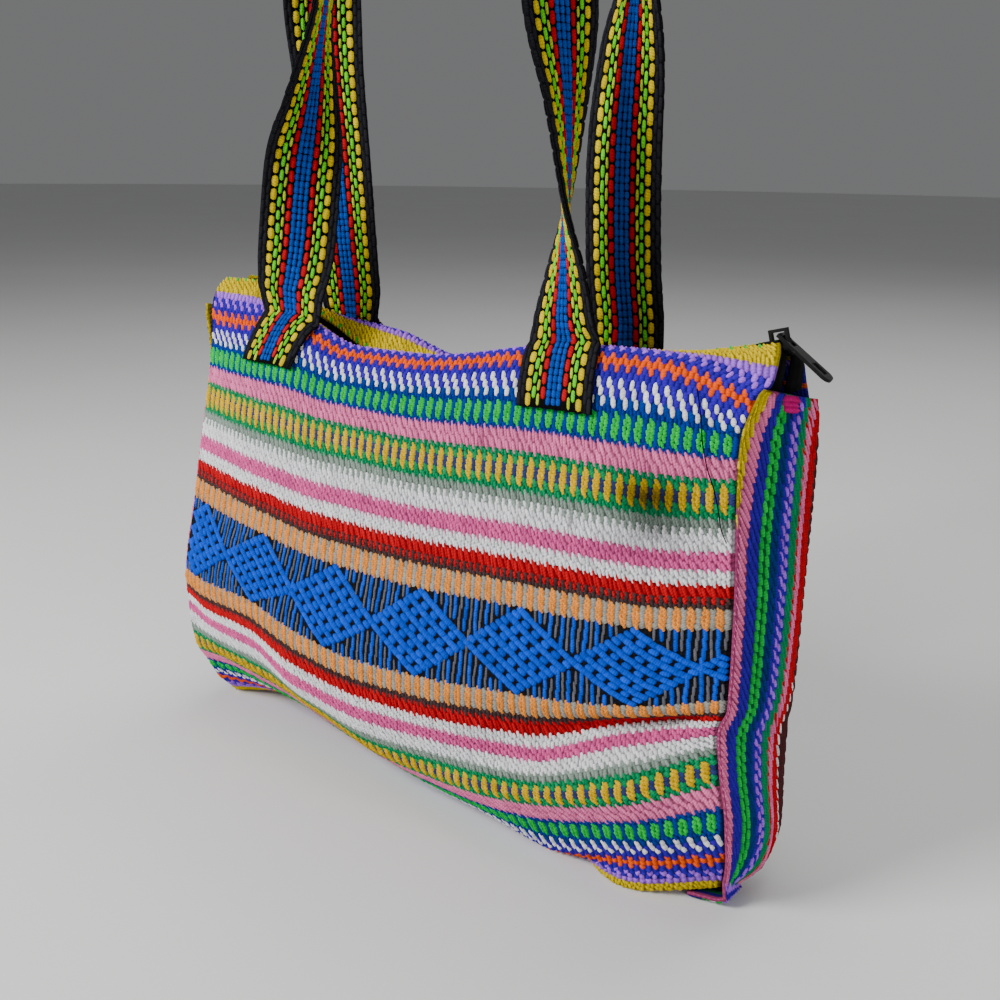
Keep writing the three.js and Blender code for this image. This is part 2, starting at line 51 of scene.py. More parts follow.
# Length of one face of the body cloth from the zip edge to the bottom fold.
FACE_LENGTH = 319.0
# Middle of the diamond band, about which the stripes repeat in mirror order.
MIDDLE_BAND = 164.3
# Spacing of the figures along a band.
PITCH = 5.7
# Least distance of a figure from the left and the right end of a band.
FIRST_POST = 0.9
LAST_POST = 0.6
# How deep the feet of the strands are set in the ground cloth.
SUNK = 0.1
# How fast a dark mark fades from its middle.
MARK_FADE = 1.6
# The tuck across the lower right of the front: its cloth length, half its height and its depth, and the
# sections where it starts, is full, begins to fade and ends.
TUCK_AT = 205.0
TUCK_REACH = 17.0
TUCK_DEPTH = 9.0
TUCK_SECTIONS = (0.3, 0.8, 0.85, 1.0)


class Dye(Enum):
    """Colours of the yarns, in sRGB from 0 to 255."""

    YELLOW = (222, 194, 0)
    LILAC = (176, 108, 246)
    PURPLE = (54, 14, 176)
    ORANGE = (255, 92, 10)
    WHITE = (242, 242, 246)
    BLUE = (2, 52, 146)
    GREEN = (4, 192, 70)
    PINK = (240, 122, 172)
    EMERALD = (0, 140, 84)
    GOLD = (222, 180, 0)
    SLATE = (42, 56, 110)
    GREY = (138, 156, 144)
    MAUVE = (226, 92, 156)
    RED = (196, 4, 24)
    CHARCOAL = (34, 34, 40)
    UMBER = (72, 54, 54)
    TAN = (240, 148, 60)
    ASH = (150, 150, 142)
    AZURE = (0, 78, 214)
    COAL = (98, 98, 106)
    LIME = (96, 222, 30)
    CREAM = (190, 212, 50)
    STRAP_BLUE = (4, 74, 180)
    VIOLET = (52, 8, 166)
    DEEP_BLUE = (2, 52, 120)
    MAGENTA = (206, 6, 120)
    BROWN = (80, 34, 36)
    BLACK = (5, 5, 6)

    def linear(self) -> np.ndarray:
        """The colour in linear light."""
        value = np.array(self.value) / 255.0
        return np.where(value <= 0.04045, value / 12.92, ((value + 0.055) / 1.055) ** 2.4)


class Motif(Enum):
    """How the yarns of a band lie."""

    STREAK = "narrow leaning strands side by side"
    BRICK = "short wide strands in rows, each row set over"
    CLUMP = "plump tabs of small strands"
    DIAMOND = "raised basket diamonds on thin upright lines"


@dataclass(frozen=True)
class Band:
    """One stripe of the body cloth.

    Attributes:
        to: cloth length from the zip edge where the stripe ends, in millimetres.
        dye: its main colour.
        motif: how its yarns lie.
        rows: rows of strands across the stripe, for bricks and clumps.
        between: colour between the main strands, where it differs.
        plump: how far the two columns of a clump are from its middle.
        teeth: colour that reaches in between the clumps from both edges.
    """

    to: float
    dye: Dye
    motif: Motif = Motif.STREAK
    rows: int = 1
    between: Dye | None = None
    plump: float = 0.9
    teeth: Dye | None = None


# Stripes from the zip edge to the diamond band; below it they follow in mirror order.
BANDS = (
    Band(16.5, Dye.YELLOW),
    Band(21, Dye.LILAC, Motif.BRICK),
    Band(27.4, Dye.LILAC, Motif.BRICK, rows=2, between=Dye.PURPLE),
    Band(30, Dye.PURPLE, Motif.BRICK),
    Band(33.3, Dye.ORANGE, Motif.BRICK, between=Dye.PURPLE),
    Band(36.7, Dye.ORANGE, Motif.BRICK),
    Band(40, Dye.ORANGE, Motif.BRICK, between=Dye.PURPLE),
    Band(43, Dye.PURPLE, Motif.BRICK),
    Band(50, Dye.WHITE, Motif.BRICK, rows=2, between=Dye.PURPLE),
    Band(53.5, Dye.WHITE, Motif.BRICK, between=Dye.BLUE),
    Band(56, Dye.BLUE),
    Band(66, Dye.GREEN, Motif.CLUMP, rows=4, between=Dye.BLUE, plump=1.0),
    Band(68, Dye.BLUE),
    Band(77.5, Dye.PINK),
    Band(79.9, Dye.EMERALD),
    Band(90.9, Dye.GOLD, Motif.CLUMP, rows=5, between=Dye.SLATE, plump=0.72, teeth=Dye.EMERALD),
    Band(93.9, Dye.EMERALD),
    Band(98.1, Dye.GREY),
    Band(100.1, Dye.GREY, between=Dye.WHITE),
    Band(107.6, Dye.WHITE),
    Band(115.3, Dye.MAUVE),
    Band(121.8, Dye.WHITE),
    Band(127.4, Dye.RED),
    Band(129.8, Dye.RED, between=Dye.UMBER),
    Band(132.3, Dye.UMBER),
    Band(142.8, Dye.TAN, Motif.CLUMP, rows=5, between=Dye.ASH, plump=0.78),
    Band(MIDDLE_BAND, Dye.AZURE, Motif.DIAMOND),
)


@dataclass(frozen=True)
class DarkMark:
    """A dark mark on the front of the cloth.

    Attributes:
        across: middle of the mark along the band, in millimetres.
        length: cloth length of its middle from the zip edge.
        reach: half its size along and across the bands.
        depth: how dark it is, from 0 to 1.
    """

    across: float
    length: float
    reach: tuple[float, float]
    depth: float

    def shade(self, across: np.ndarray, length: np.ndarray) -> np.ndarray:
        """How much light the mark leaves.

        Args:
            across: places along the band.
            length: their cloth lengths from the zip edge.

        Returns:
            One share of the light for each place.
        """
        aside = (across - self.across) / self.reach[0]
        beyond = (length - self.length) / self.reach[1]
        return 1 - self.depth * np.exp(-MARK_FADE * (aside**2 + beyond**2))


# The first three darken a broad patch of the front near its right end; the last three are small dark
# specks in the weave.
DARK_MARKS = (
    DarkMark(129.5, 87, (21, 10), 0.9),
    DarkMark(133, 99, (19, 8), 0.6),
    DarkMark(124, 108, (22, 9), 0.25),
    DarkMark(41.5, 73.7, (2.4, 3.4), 0.6),
    DarkMark(93, 102.6, (2.6, 3), 0.55),
    DarkMark(-26.6, 107.4, (3, 3), 0.5),
)


@dataclass(frozen=True)
class Level:
    """Where one band of the body cloth lies.

    Attributes:
        at: cloth length from the zip edge.
        left: x of the left end.
        right: x of the right end.
        y: depth at each section.
        z: height at each section.
    """

    at: float
    left: float
    right: float
    y: tuple[float, ...]
    z: tuple[float, ...]


STATIONS = np.array([-1, -0.85, -0.6, -0.35, -0.1, 0.45, 0.75, 1])
FRONT = (
    Level(0, -161, 163, (-8, -8, -4, -4, -4, -4, -5, -6), (244, 244.5, 226, 209, 208.5, 219, 233, 243)),
    Level(11, -162, 166, (-13, -12, -10, -9, -9, -9, -11, -12),
          (240, 240, 229, 214, 214.5, 229, 236, 239.5)),
    Level(22, -163, 168.6, (-17, -17, -16, -15, -15, -16, -19, -22),
          (233, 232.5, 230, 218.5, 219.5, 234, 236, 230)),
    Level(30, -162.8, 165.2, (-18.3, -19.7, -20, -19.3, -19.5, -20.5, -23.4, -25.6),
          (227.3, 226.8, 228.1, 217.2, 218.1, 232, 233.9, 224.7)),
    Level(61, -161, 163, (-22, -28, -33, -34, -35, -35, -36, -34),
          (203, 203, 203, 198.5, 198.5, 205, 206, 206)),
    Level(137, -164, 166.5, (-35, -40, -46, -49, -50, -48, -45, -36),
          (131, 129, 126, 123, 123, 128, 131, 137)),
    Level(191, -169.5, 167.5, (-41.5, -50, -56, -60.5, -58, -51.5, -47, -37.5),
          (78.5, 79, 80.5, 74, 69, 77, 87, 100)),
    Level(217, -168.5, 164.5, (-41.5, -46, -51.5, -60.5, -58, -48.5, -44.5, -38.5),
          (61.5, 57.5, 58, 51, 46, 51.5, 73, 89)),
    Level(243, -168.5, 166.5, (-38.5, -39.5, -42.5, -45.5, -50, -55, -52.5, -39),
          (38, 37.5, 35.5, 29.5, 24.5, 36, 52.5, 73)),
    Level(267, -163, 170, (-33.5, -29.5, -30, -32, -36.5, -46, -46.5, -37.5),
          (24, 23, 20, 14.5, 10, 16.5, 32, 49)),
    Level(293, -162.5, 168.5, (-29, -20.5, -14.5, -16.5, -20.5, -34, -40.5, -31),
          (14.5, 13, 9.5, 4, 0.2, 0.2, 14, 27)),
    Level(319, -161.5, 164, (-16.5, -7, 3, 3, 0, -16, -40.5, -23), (0.6, 3.5, 0.5, 0, 0, 0, 0, 7)),
)
BACK = (
    Level(0, -161, 163, (8, 8, 4, 4, 4, 4, 5, 6), (244, 244.5, 226, 209, 208.5, 219, 233, 243)),
    Level(11, -162, 162, (13, 12, 10, 9, 9, 9, 11, 12), (239, 238, 228, 218, 213, 221, 233, 238)),
    Level(22, -163, 161, (17, 17, 17, 16, 16, 17, 20, 26), (231, 229, 226, 223, 214, 222, 230, 229)),
    Level(61, -161, 163.5, (24, 29, 33, 35, 35, 35, 35, 31.5), (201, 200, 198, 195, 189, 196, 201, 205)),
    Level(137, -164, 168, (34, 40, 45, 48, 49, 48, 41, 21.5), (130, 128, 125, 122, 121, 124, 128, 137)),
    Level(191, -169.5, 167.5, (38, 44, 50, 54, 55, 53, 43, 21.5), (78, 77, 76, 73, 72, 75, 80, 88)),
    Level(217, -168.5, 164.5, (35, 41, 47, 51.5, 52.5, 50, 40, 25),
          (55.5, 55, 54.5, 51.5, 50.5, 52.5, 56.5, 65)),
    Level(243, -168.5, 166.5, (30, 36, 43, 48, 49, 45, 33.5, 21), (34, 34, 34, 32, 31, 32, 35, 43)),
    Level(267, -163, 170, (21, 28, 35, 38, 38, 32, 17, 12.5), (16, 16, 15, 14, 13, 14, 17, 20.5)),
    Level(293, -162.5, 168.5, (1, 11, 20, 21, 20, 8, -16, -3), (4, 5, 3, 2, 2, 2.5, 4.5, 7.5)),
    Level(319, -161.5, 164, (-16.5, -7, 3, 3, 0, -16, -40.5, -23), (0.6, 3.5, 0.5, 0, 0, 0, 0, 7)),
)


def through(knots: np.ndarray, values: np.ndarray, at: np.ndarray) -> np.ndarray:
    """Smooth curve through a table's values that never swings past them.

    Args:
        knots: places of the values, rising.
        values: one value, or one row of values, for each knot.
        at: places that are asked for.

    Returns:
        One value, or one row of values, for each place.
    """
    knots, values, at = (np.asarray(x, float) for x in (knots, values, at))
    column = (-1,) + (1,) * (values.ndim - 1)
    gaps = np.diff(knots)
    rise = np.diff(values, axis=0) / gaps.reshape(column)
    both = rise[:-1] * rise[1:]
    total = np.where(both > 0, rise[:-1] + rise[1:], 1)
    slope = np.concatenate([rise[:1], np.where(both > 0, 2 * both / total, 0), rise[-1:]])
    i = np.searchsorted(knots[1:-1], at, side="left")
    t = np.clip((at - knots[i]) / gaps[i], 0, 1).reshape(column)
    gap = gaps[i].reshape(column)
    return ((2 * t**3 - 3 * t**2 + 1) * values[i] + (t**3 - 2 * t**2 + t) * gap * slope[i]
            + (3 * t**2 - 2 * t**3) * values[i + 1] + (t**3 - t**2) * gap * slope[i + 1])


def smooth(start: float, end: float, at: np.ndarray) -> np.ndarray:
    """Smooth step from 0 at start to 1 at end."""
    t = np.clip((np.asarray(at, float) - start) / (end - start), 0, 1)
    return t * t * (3 - 2 * t)


def unit(vectors: np.ndarray) -> np.ndarray:
    """The vectors at length one."""
    return vectors / np.maximum(np.linalg.norm(vectors, axis=-1, keepdims=True), 1e-9)


def cloth(face: tuple[Level, ...], sections: np.ndarray, lengths: np.ndarray) -> np.ndarray:
    """Outer face of the body cloth.

    Args:
        face: the table of the front or the back.
        sections: places across the bag, from -1 at the left end to 1 at the right.
        lengths: cloth lengths from the zip edge.

    Returns:
        Points for each length and section, in the table frame.
    """
    at = np.array([level.at for level in face])
    left = through(at, [level.left for level in face], lengths)[:, None]
    right = through(at, [level.right for level in face], lengths)[:, None]
    x = left + (right - left) * (sections[None, :] + 1) / 2
    y = through(at, through(STATIONS, np.array([level.y for level in face]).T, sections).T, lengths)
    z = through(at, through(STATIONS, np.array([level.z for level in face]).T, sections).T, lengths)
    if face is FRONT:
        start, full, fade, end = TUCK_SECTIONS
        away = np.minimum(np.abs(lengths - TUCK_AT) / TUCK_REACH, 1)[:, None]
        share = smooth(start, full, sections) * (1 - smooth(fade, end, sections))
        y = y + TUCK_DEPTH * np.cos(away * np.pi / 2) ** 2 * share[None, :]
    return np.stack([x, y, z], axis=-1)


@dataclass
class Weave:
    """A cloth surface on a grid, on which strands are laid by their woven coordinates.

    Attributes:
        points: outer face, one row of points for each place along, in millimetres.
        out: direction out of the face at each point.
        across: woven coordinate of each column.
        along: woven coordinate of each row.
    """

    points: np.ndarray
    out: np.ndarray
    across: np.ndarray
    along: np.ndarray

    def lay(self, across: np.ndarray, along: np.ndarray, lift: np.ndarray) -> np.ndarray:
        """Points above the cloth.

        Args:
            across: woven coordinates across.
            along: woven coordinates along.
            lift: height over the face, in millimetres.

        Returns:
            One point for each place.
        """
        i = np.clip(np.searchsorted(self.along, along) - 1, 0, len(self.along) - 2)
        j = np.clip(np.searchsorted(self.across, across) - 1, 0, len(self.across) - 2)
        f = np.clip((along - self.along[i]) / (self.along[i + 1] - self.along[i]), 0, 1)[..., None]
        g = np.clip((across - self.across[j]) / (self.across[j + 1] - self.across[j]), 0, 1)[..., None]

        def blend(grid: np.ndarray) -> np.ndarray:
            """Value of a grid between its four nearest points.

            Args:
                grid: one vector for each point of the cloth.

            Returns:
                One vector for each place.
            """
            near = grid[i, j] * (1 - g) + grid[i, j + 1] * g
            far = grid[i + 1, j] * (1 - g) + grid[i + 1, j + 1] * g
            return near * (1 - f) + far * f

        return blend(self.points) + unit(blend(self.out)) * lift[..., None]

    def offset(self, lift: float) -> np.ndarray:
        """The whole grid, moved out by a height."""
        return self.points + self.out * lift


def facing(points: np.ndarray, sign: float) -> np.ndarray:
    """Directions out of a grid of points, by its rows and columns.

    Args:
        points: the grid, row by row.
        sign: 1 for the side that the turn from rows to columns gives, -1 for the other.

    Returns:
        One direction for each point.
    """
    down = np.gradient(points, axis=0)
    side = np.gradient(points, axis=1)
    return unit(np.cross(down, side)) * sign


def mesh_of(name: str, points: np.ndarray, faces: np.ndarray) -> bpy.types.Object:
    """A smooth mesh from arrays, in the frame of the part.

    Args:
        name: name of the new piece.
        points: points in the table frame, in millimetres.
        faces: corners of the faces, all with the same number of corners.

    Returns:
        The new object, at the origin.
    """
    sides = faces.shape[1]
    mesh = bpy.data.meshes.new(name)
    mesh.vertices.add(len(points))
    mesh.vertices.foreach_set("co", ((points + HUNG) * MM).astype(np.float32).ravel())
    mesh.loops.add(faces.size)
    mesh.loops.foreach_set("vertex_index", faces.astype(np.int32).ravel())
    mesh.polygons.add(len(faces))
    mesh.polygons.foreach_set("loop_start", np.arange(0, faces.size, sides, dtype=np.int32))
    mesh.polygons.foreach_set("use_smooth", np.ones(len(faces), dtype=bool))
    mesh.update(calc_edges=True)
    piece = bpy.data.objects.new(name, mesh)
    bpy.context.collection.objects.link(piece)
    return piece


def add_map(piece: bpy.types.Object, name: str, places: np.ndarray) -> None:
    """Gives a mesh a UV map.

    Args:
        piece: the mesh object.
        name: name of the map.
        places: one place for each point of the mesh.
    """
    mesh = piece.data
    corners = np.empty(len(mesh.loops), dtype=np.int32)
    mesh.loops.foreach_get("vertex_index", corners)
    layer = mesh.uv_layers.new(name=name)
    layer.data.foreach_set("uv", places[corners].astype(np.float32).ravel())


def shell(name: str, top: np.ndarray, bottom: np.ndarray, places: np.ndarray) -> bpy.types.Object:
    """A closed cloth wall between two grids.

    Args:
        name: name of the piece.
        top: outer grid of points.
        bottom: inner grid of points.
        places: woven coordinates of the grid, for the UV map.

    Returns:
        The new object, with a UV map named weave.
    """
    rows, columns = top.shape[:2]
    number = np.arange(rows * columns).reshape(rows, columns)
    under = number + rows * columns

    def quads(a: np.ndarray, b: np.ndarray, c: np.ndarray, d: np.ndarray) -> np.ndarray:
        """Faces with their corners in four arrays."""
        return np.stack([a.ravel(), b.ravel(), c.ravel(), d.ravel()], axis=1)

    faces = np.concatenate([
        quads(number[:-1, :-1], number[:-1, 1:], number[1:, 1:], number[1:, :-1]),
        quads(under[:-1, :-1], under[1:, :-1], under[1:, 1:], under[:-1, 1:]),
        quads(number[:-1, 0], number[1:, 0], under[1:, 0], under[:-1, 0]),
        quads(number[1:, -1], number[:-1, -1], under[:-1, -1], under[1:, -1]),
        quads(number[0, 1:], number[0, :-1], under[0, :-1], under[0, 1:]),
        quads(number[-1, :-1], number[-1, 1:], under[-1, 1:], under[-1, :-1]),
    ])
    points = np.concatenate([top.reshape(-1, 3), bottom.reshape(-1, 3)])
    corners = points[faces]
    volume = np.einsum("ij,ij->", corners[:, 0], np.cross(corners[:, 1], corners[:, 2]))
    volume += np.einsum("ij,ij->", corners[:, 0], np.cross(corners[:, 2], corners[:, 3]))
    piece = mesh_of(name, points, faces if volume > 0 else faces[:, ::-1])
    flat = places.reshape(-1, 2)
    add_map(piece, "weave", np.concatenate([flat, flat]))
    return piece


# One strand: a tip, three cross rows and a tip; columns are along, across and height.
STRAND = np.array([
    (-1.0, 0.0, 0.1),
    (-0.76, -0.86, 0.0), (-0.76, 0.0, 0.84), (-0.76, 0.86, 0.0),
    (0.0, -1.0, 0.0), (0.0, 0.0, 1.0), (0.0, 1.0, 0.0),
    (0.76, -0.86, 0.0), (0.76, 0.0, 0.84), (0.76, 0.86, 0.0),
    (1.0, 0.0, 0.1),
])
STRAND_FACES = np.array([
    (0, 2, 1), (0, 3, 2),
    (1, 2, 5), (1, 5, 4), (2, 3, 6), (2, 6, 5),
    (4, 5, 8), (4, 8, 7), (5, 6, 9), (5, 9, 8),
    (7, 8, 10), (8, 9, 10),
])
# The middle of a strand's ridge among its points, and a face beside the ridge.
RIDGE = 5
RIDGE_FACE = 4
# How far looseness moves a strand, in millimetres, and turns it, in degrees.
DRIFT = 1.6
SWING = 60.0
# The most that a strand's size may differ, and how much its dye differs.
SIZE_LIMIT = 0.3
DYE_SPREAD = 0.09
# Painted shade at the foot of each strand, where it meets the cloth: how light its foot is drawn against
# its ridge.
FOOT_SHADE = 0.55


@dataclass
class Strands:
    """Raised strands of yarn, gathered from the chart and laid on a cloth in one mesh.

    Attributes:
        name: name of the piece.
        seed: start of its small random differences.
        lots: gathered rows of across, along, length, width, height, slant, red, green, blue.
    """

    name: str
    seed: int
    lots: list[np.ndarray] = field(default_factory=list)

    def __post_init__(self) -> None:
        """Starts the piece's own random numbers."""
        self.random = np.random.default_rng(self.seed)

    def add(self, across: np.ndarray, along: np.ndarray, size: tuple[float, float, float], slant: float,
            dye: Dye, loose: float = 0.1) -> None:
        """Adds strands of one size and dye.

        Args:
            across: their middles across the cloth.
            along: their middles along the cloth.
            size: length, width and height in millimetres.
            slant: how far they lean from the along direction, in degrees.
            dye: their colour.
            loose: how far sizes and places differ from strand to strand.
        """
        across, along = np.broadcast_arrays(np.asarray(across, float), np.asarray(along, float))
        across, along = across.ravel(), along.ravel()
        count = across.size
        vary = self.random.normal(0, loose, (count, 6))
        lot = np.empty((count, 9))
        lot[:, 0] = across + DRIFT * vary[:, 0]
        lot[:, 1] = along + DRIFT * vary[:, 1]
        lot[:, 2:5] = np.array(size) * (1 + np.clip(vary[:, 2:5], -SIZE_LIMIT, SIZE_LIMIT))
        lot[:, 5] = np.radians(slant + SWING * vary[:, 5])
        lot[:, 6:] = dye.linear() * (1 + self.random.normal(0, DYE_SPREAD, (count, 1)))
        self.lots.append(lot)

    def build(self, weave: Weave, lift: float, dark_marks: tuple[DarkMark, ...] = ()) -> bpy.types.Object:
        """Lays all the strands.

        Args:
            weave: the cloth under them.
            lift: height of their feet over the cloth's outer face.
            dark_marks: places where they are drawn darker.

        Returns:
            The joined piece, with a colour attribute named yarn, which holds the dyes with painted shade
            at the strands' feet, and a UV map named ply.
        """
        lot = np.concatenate(self.lots)
        ahead, aside, high = STRAND.T
        length, width, height, slant = (lot[:, k, None] for k in (2, 3, 4, 5))
        forth = ahead[None, :] * length / 2
        sideways = aside[None, :] * width / 2
        across = lot[:, 0, None] + forth * np.sin(slant) + sideways * np.cos(slant)
        along = lot[:, 1, None] + forth * np.cos(slant) - sideways * np.sin(slant)
        points = weave.lay(across, along, lift + high[None, :] * height)
        count, corners = across.shape
        faces = STRAND_FACES[None] + (np.arange(count) * corners)[:, None, None]
        piece = mesh_of(self.name, points.reshape(-1, 3), self._outward(points, faces).reshape(-1, 3))
        shade = np.ones(count)
        # Darkens the strands under each dark mark.
        for dark_mark in dark_marks:
            shade = shade * dark_mark.shade(lot[:, 0], lot[:, 1])
        colour = np.ones((count, corners, 4))
        # Painted shade: each strand's colour darkens from its ridge down to its feet.
        rising = FOOT_SHADE + (1 - FOOT_SHADE) * high[None, :, None]
        colour[..., :3] = (lot[:, None, 6:] * shade[:, None, None]) * rising
        layer = piece.data.color_attributes.new("yarn", "FLOAT_COLOR", "POINT")
        layer.data.foreach_set("color", np.clip(colour, 0, 1).astype(np.float32).ravel())
        ply = np.stack([forth, np.broadcast_to(aside, forth.shape)], axis=-1)
        add_map(piece, "ply", ply.reshape(-1, 2))
        return piece

    @staticmethod
    def _outward(points: np.ndarray, faces: np.ndarray) -> np.ndarray:
        """Turns the faces of all strands so that their backs stand up from the cloth.

        Args:
            points: points of the strands, strand by strand.
            faces: corners of their faces, strand by strand.

        Returns:
            The faces, turned over where they looked into the cloth.
        """
        ridge = points[0, RIDGE] - (points[0, RIDGE - 1] + points[0, RIDGE + 1]) / 2
        a, b, c = (points[0, k] for k in STRAND_FACES[RIDGE_FACE])
        return faces if np.dot(np.cross(b - a, c - a), ridge) > 0 else faces[..., ::-1]


class Wire:
    """A shader value that takes Python arithmetic."""

    def __init__(self, book: "NodeBook", socket: bpy.types.NodeSocket) -> None:
        """Keeps an output socket and the book that its nodes are in."""
        self.book = book
        self.socket = socket

    def math(self, operation: str, *values: "Wire | float") -> "Wire":
        """Adds a Math node on this value and the others."""
        sockets = dict(enumerate((self, *values)))
        return self.book.out("ShaderNodeMath", {"operation": operation}, sockets)

    def __add__(self, other: "Wire | float") -> "Wire":
        """Sum."""
        return self.math("ADD", other)

    __radd__ = __add__

    def __mul__(self, other: "Wire | float") -> "Wire":
        """Product."""
        return self.math("MULTIPLY", other)

    __rmul__ = __mul__

    def __sub__(self, other: "Wire | float") -> "Wire":
        """Difference."""
        return self.math("SUBTRACT", other)

    def __rsub__(self, other: float) -> "Wire":
        """Difference from a number."""
        return self.book.out("ShaderNodeMath", {"operation": "SUBTRACT"}, {0: other, 1: self})

    def __truediv__(self, other: "Wire | float") -> "Wire":
        """Quotient."""
        return self.math("DIVIDE", other)

    def __rtruediv__(self, other: float) -> "Wire":
        """Quotient of a number."""
        return self.book.out("ShaderNodeMath", {"operation": "DIVIDE"}, {0: other, 1: self})

    def wave(self, length: float) -> "Wire":
        """Sine wave from 0 to 1 with the given length."""
        return (self * (2 * math.pi / length)).math("SINE") * 0.5 + 0.5


class NodeBook:
    """The nodes of one material."""

    def __init__(self, name: str) -> None:
        """Starts an empty material.

        Args:
            name: name of the material.
        """
        self.material = bpy.data.materials.new(name)
        self.material.use_nodes = True
        self.tree = self.material.node_tree
        self.tree.nodes.clear()

    def node(self, kind: str, settings: dict | None = None,
             sockets: dict | None = None) -> bpy.types.Node:
        """Adds a node.

        Args:
            kind: the node's type.
            settings: its settings; stops holds the places and colours of a ramp.
            sockets: values or links of its input sockets, by name or number.

        Returns:
            The new node.
        """
        node = self.tree.nodes.new(kind)
        for key, value in (settings or {}).items():
            if key == "stops":
                self._ramp(node, value)
            else:
                setattr(node, key, value)
        for key, value in (sockets or {}).items():
            if isinstance(value, Wire):
                self.tree.links.new(value.socket, node.inputs[key])
            else:
                node.inputs[key].default_value = value
        return node

    @staticmethod
    def _ramp(node: bpy.types.Node, stops: list[tuple[float, tuple[float, ...]]]) -> None:
        """Sets the stops of a colour ramp that changes at once from one to the next.

        Args:
            node: the ramp's node.
            stops: place and colour of each stop, in rising order.
        """
        ramp = node.color_ramp
        ramp.interpolation = "CONSTANT"
        while len(ramp.elements) < len(stops):
            ramp.elements.new(1.0)
        for element, (place, colour) in zip(ramp.elements, stops):
            element.position = place
            element.color = colour

    def out(self, kind: str, settings: dict | None = None, sockets: dict | None = None,
            which: int | str = 0) -> Wire:
        """Adds a node and gives one of its outputs."""
        return Wire(self, self.node(kind, settings, sockets).outputs[which])

    def place(self, name: str) -> tuple[Wire, Wire]:
        """The two values of a UV map.

        Args:
            name: name of the map.

        Returns:
            Its first and its second value.
        """
        spot = self.out("ShaderNodeUVMap", {"uv_map": name})
        parts = self.node("ShaderNodeSeparateXYZ", sockets={0: spot})
        return Wire(self, parts.outputs[0]), Wire(self, parts.outputs[1])

    def cloud(self, scale: float, detail: float = 3.0) -> Wire:
        """Soft noise over the object's own space, from 0 to 1."""
        spot = self.out("ShaderNodeTexCoord", which="Object")
        return self.out("ShaderNodeTexNoise", sockets={"Vector": spot, "Scale": scale, "Detail": detail})

    def mix(self, amount: "Wire | float", first: "Wire | tuple", second: "Wire | tuple",
            blend: str = "MIX") -> Wire:
        """Mixes two colours."""
        settings = {"data_type": "RGBA", "blend_type": blend}
        return self.out("ShaderNodeMix", settings, {0: amount, 6: first, 7: second}, which=2)

    def grey(self, tone: Wire) -> Wire:
        """A grey colour as light as a value."""
        return self.out("ShaderNodeCombineColor", sockets={0: tone, 1: tone, 2: tone})

    def bump(self, height: Wire, distance: float, strength: float = 1.0) -> Wire:
        """Normal from a height."""
        return self.out("ShaderNodeBump", sockets={"Height": height, "Distance": distance,
                                                  "Strength": strength})

    def finish(self, sockets: dict) -> bpy.types.Material:
        """Adds the surface shader and the output.

        Args:
            sockets: values or links of the shader's input sockets, by name.

        Returns:
            The finished material.
        """
        shader = self.out("ShaderNodeBsdfPrincipled", sockets=sockets)
        self.node("ShaderNodeOutputMaterial", sockets={0: shader})
        return self.material


def opaque(colour: np.ndarray) -> tuple[float, float, float, float]:
    """A colour with full alpha."""
    return (float(colour[0]), float(colour[1]), float(colour[2]), 1.0)


@dataclass(frozen=True)
class YarnFinish:
    """Matt twisted cotton, coloured strand by strand.

    Attributes:
        name: name of the material.
        twist: length of one turn of the ply, in millimetres.
        rough: middle roughness of the fibres.
        grain: scale of the fuzz.
        tones: shares of the ply and the fuzz in the lightness, and the least lightness.
        relief: height of the ply, in metres.
    """

    name: str
    twist: float = 1.3
    rough: float = 0.88
    grain: float = 900.0
    tones: tuple[float, float, float] = (0.24, 0.5, 0.62)
    relief: float = 0.00022

    def make(self) -> bpy.types.Material:
        """Builds the material.

        Returns:
            The new material.
        """
        book = NodeBook(self.name)
        forth, side = book.place("ply")
        ply = (forth + side * 0.5).wave(self.twist)
        fuzz = book.cloud(self.grain)
        tone = ply * self.tones[0] + fuzz * self.tones[1] + self.tones[2]
        dye = book.out("ShaderNodeVertexColor", {"layer_name": "yarn"})
        return book.finish({
            "Base Color": book.mix(1.0, dye, book.grey(tone), "MULTIPLY"),
            "Roughness": fuzz * 0.2 + (self.rough - 0.1),
            "Normal": book.bump(ply + fuzz * 0.8, self.relief, 0.6),
            "Specular IOR Level": 0.1,
        })


class Ruler(Enum):
    """How the stripes of a ground cloth are counted."""

    BODY = "by cloth length, both ways from the diamond band"
    ACROSS = "across the strip"
    OUTWARD = "both ways from the middle of the strip"


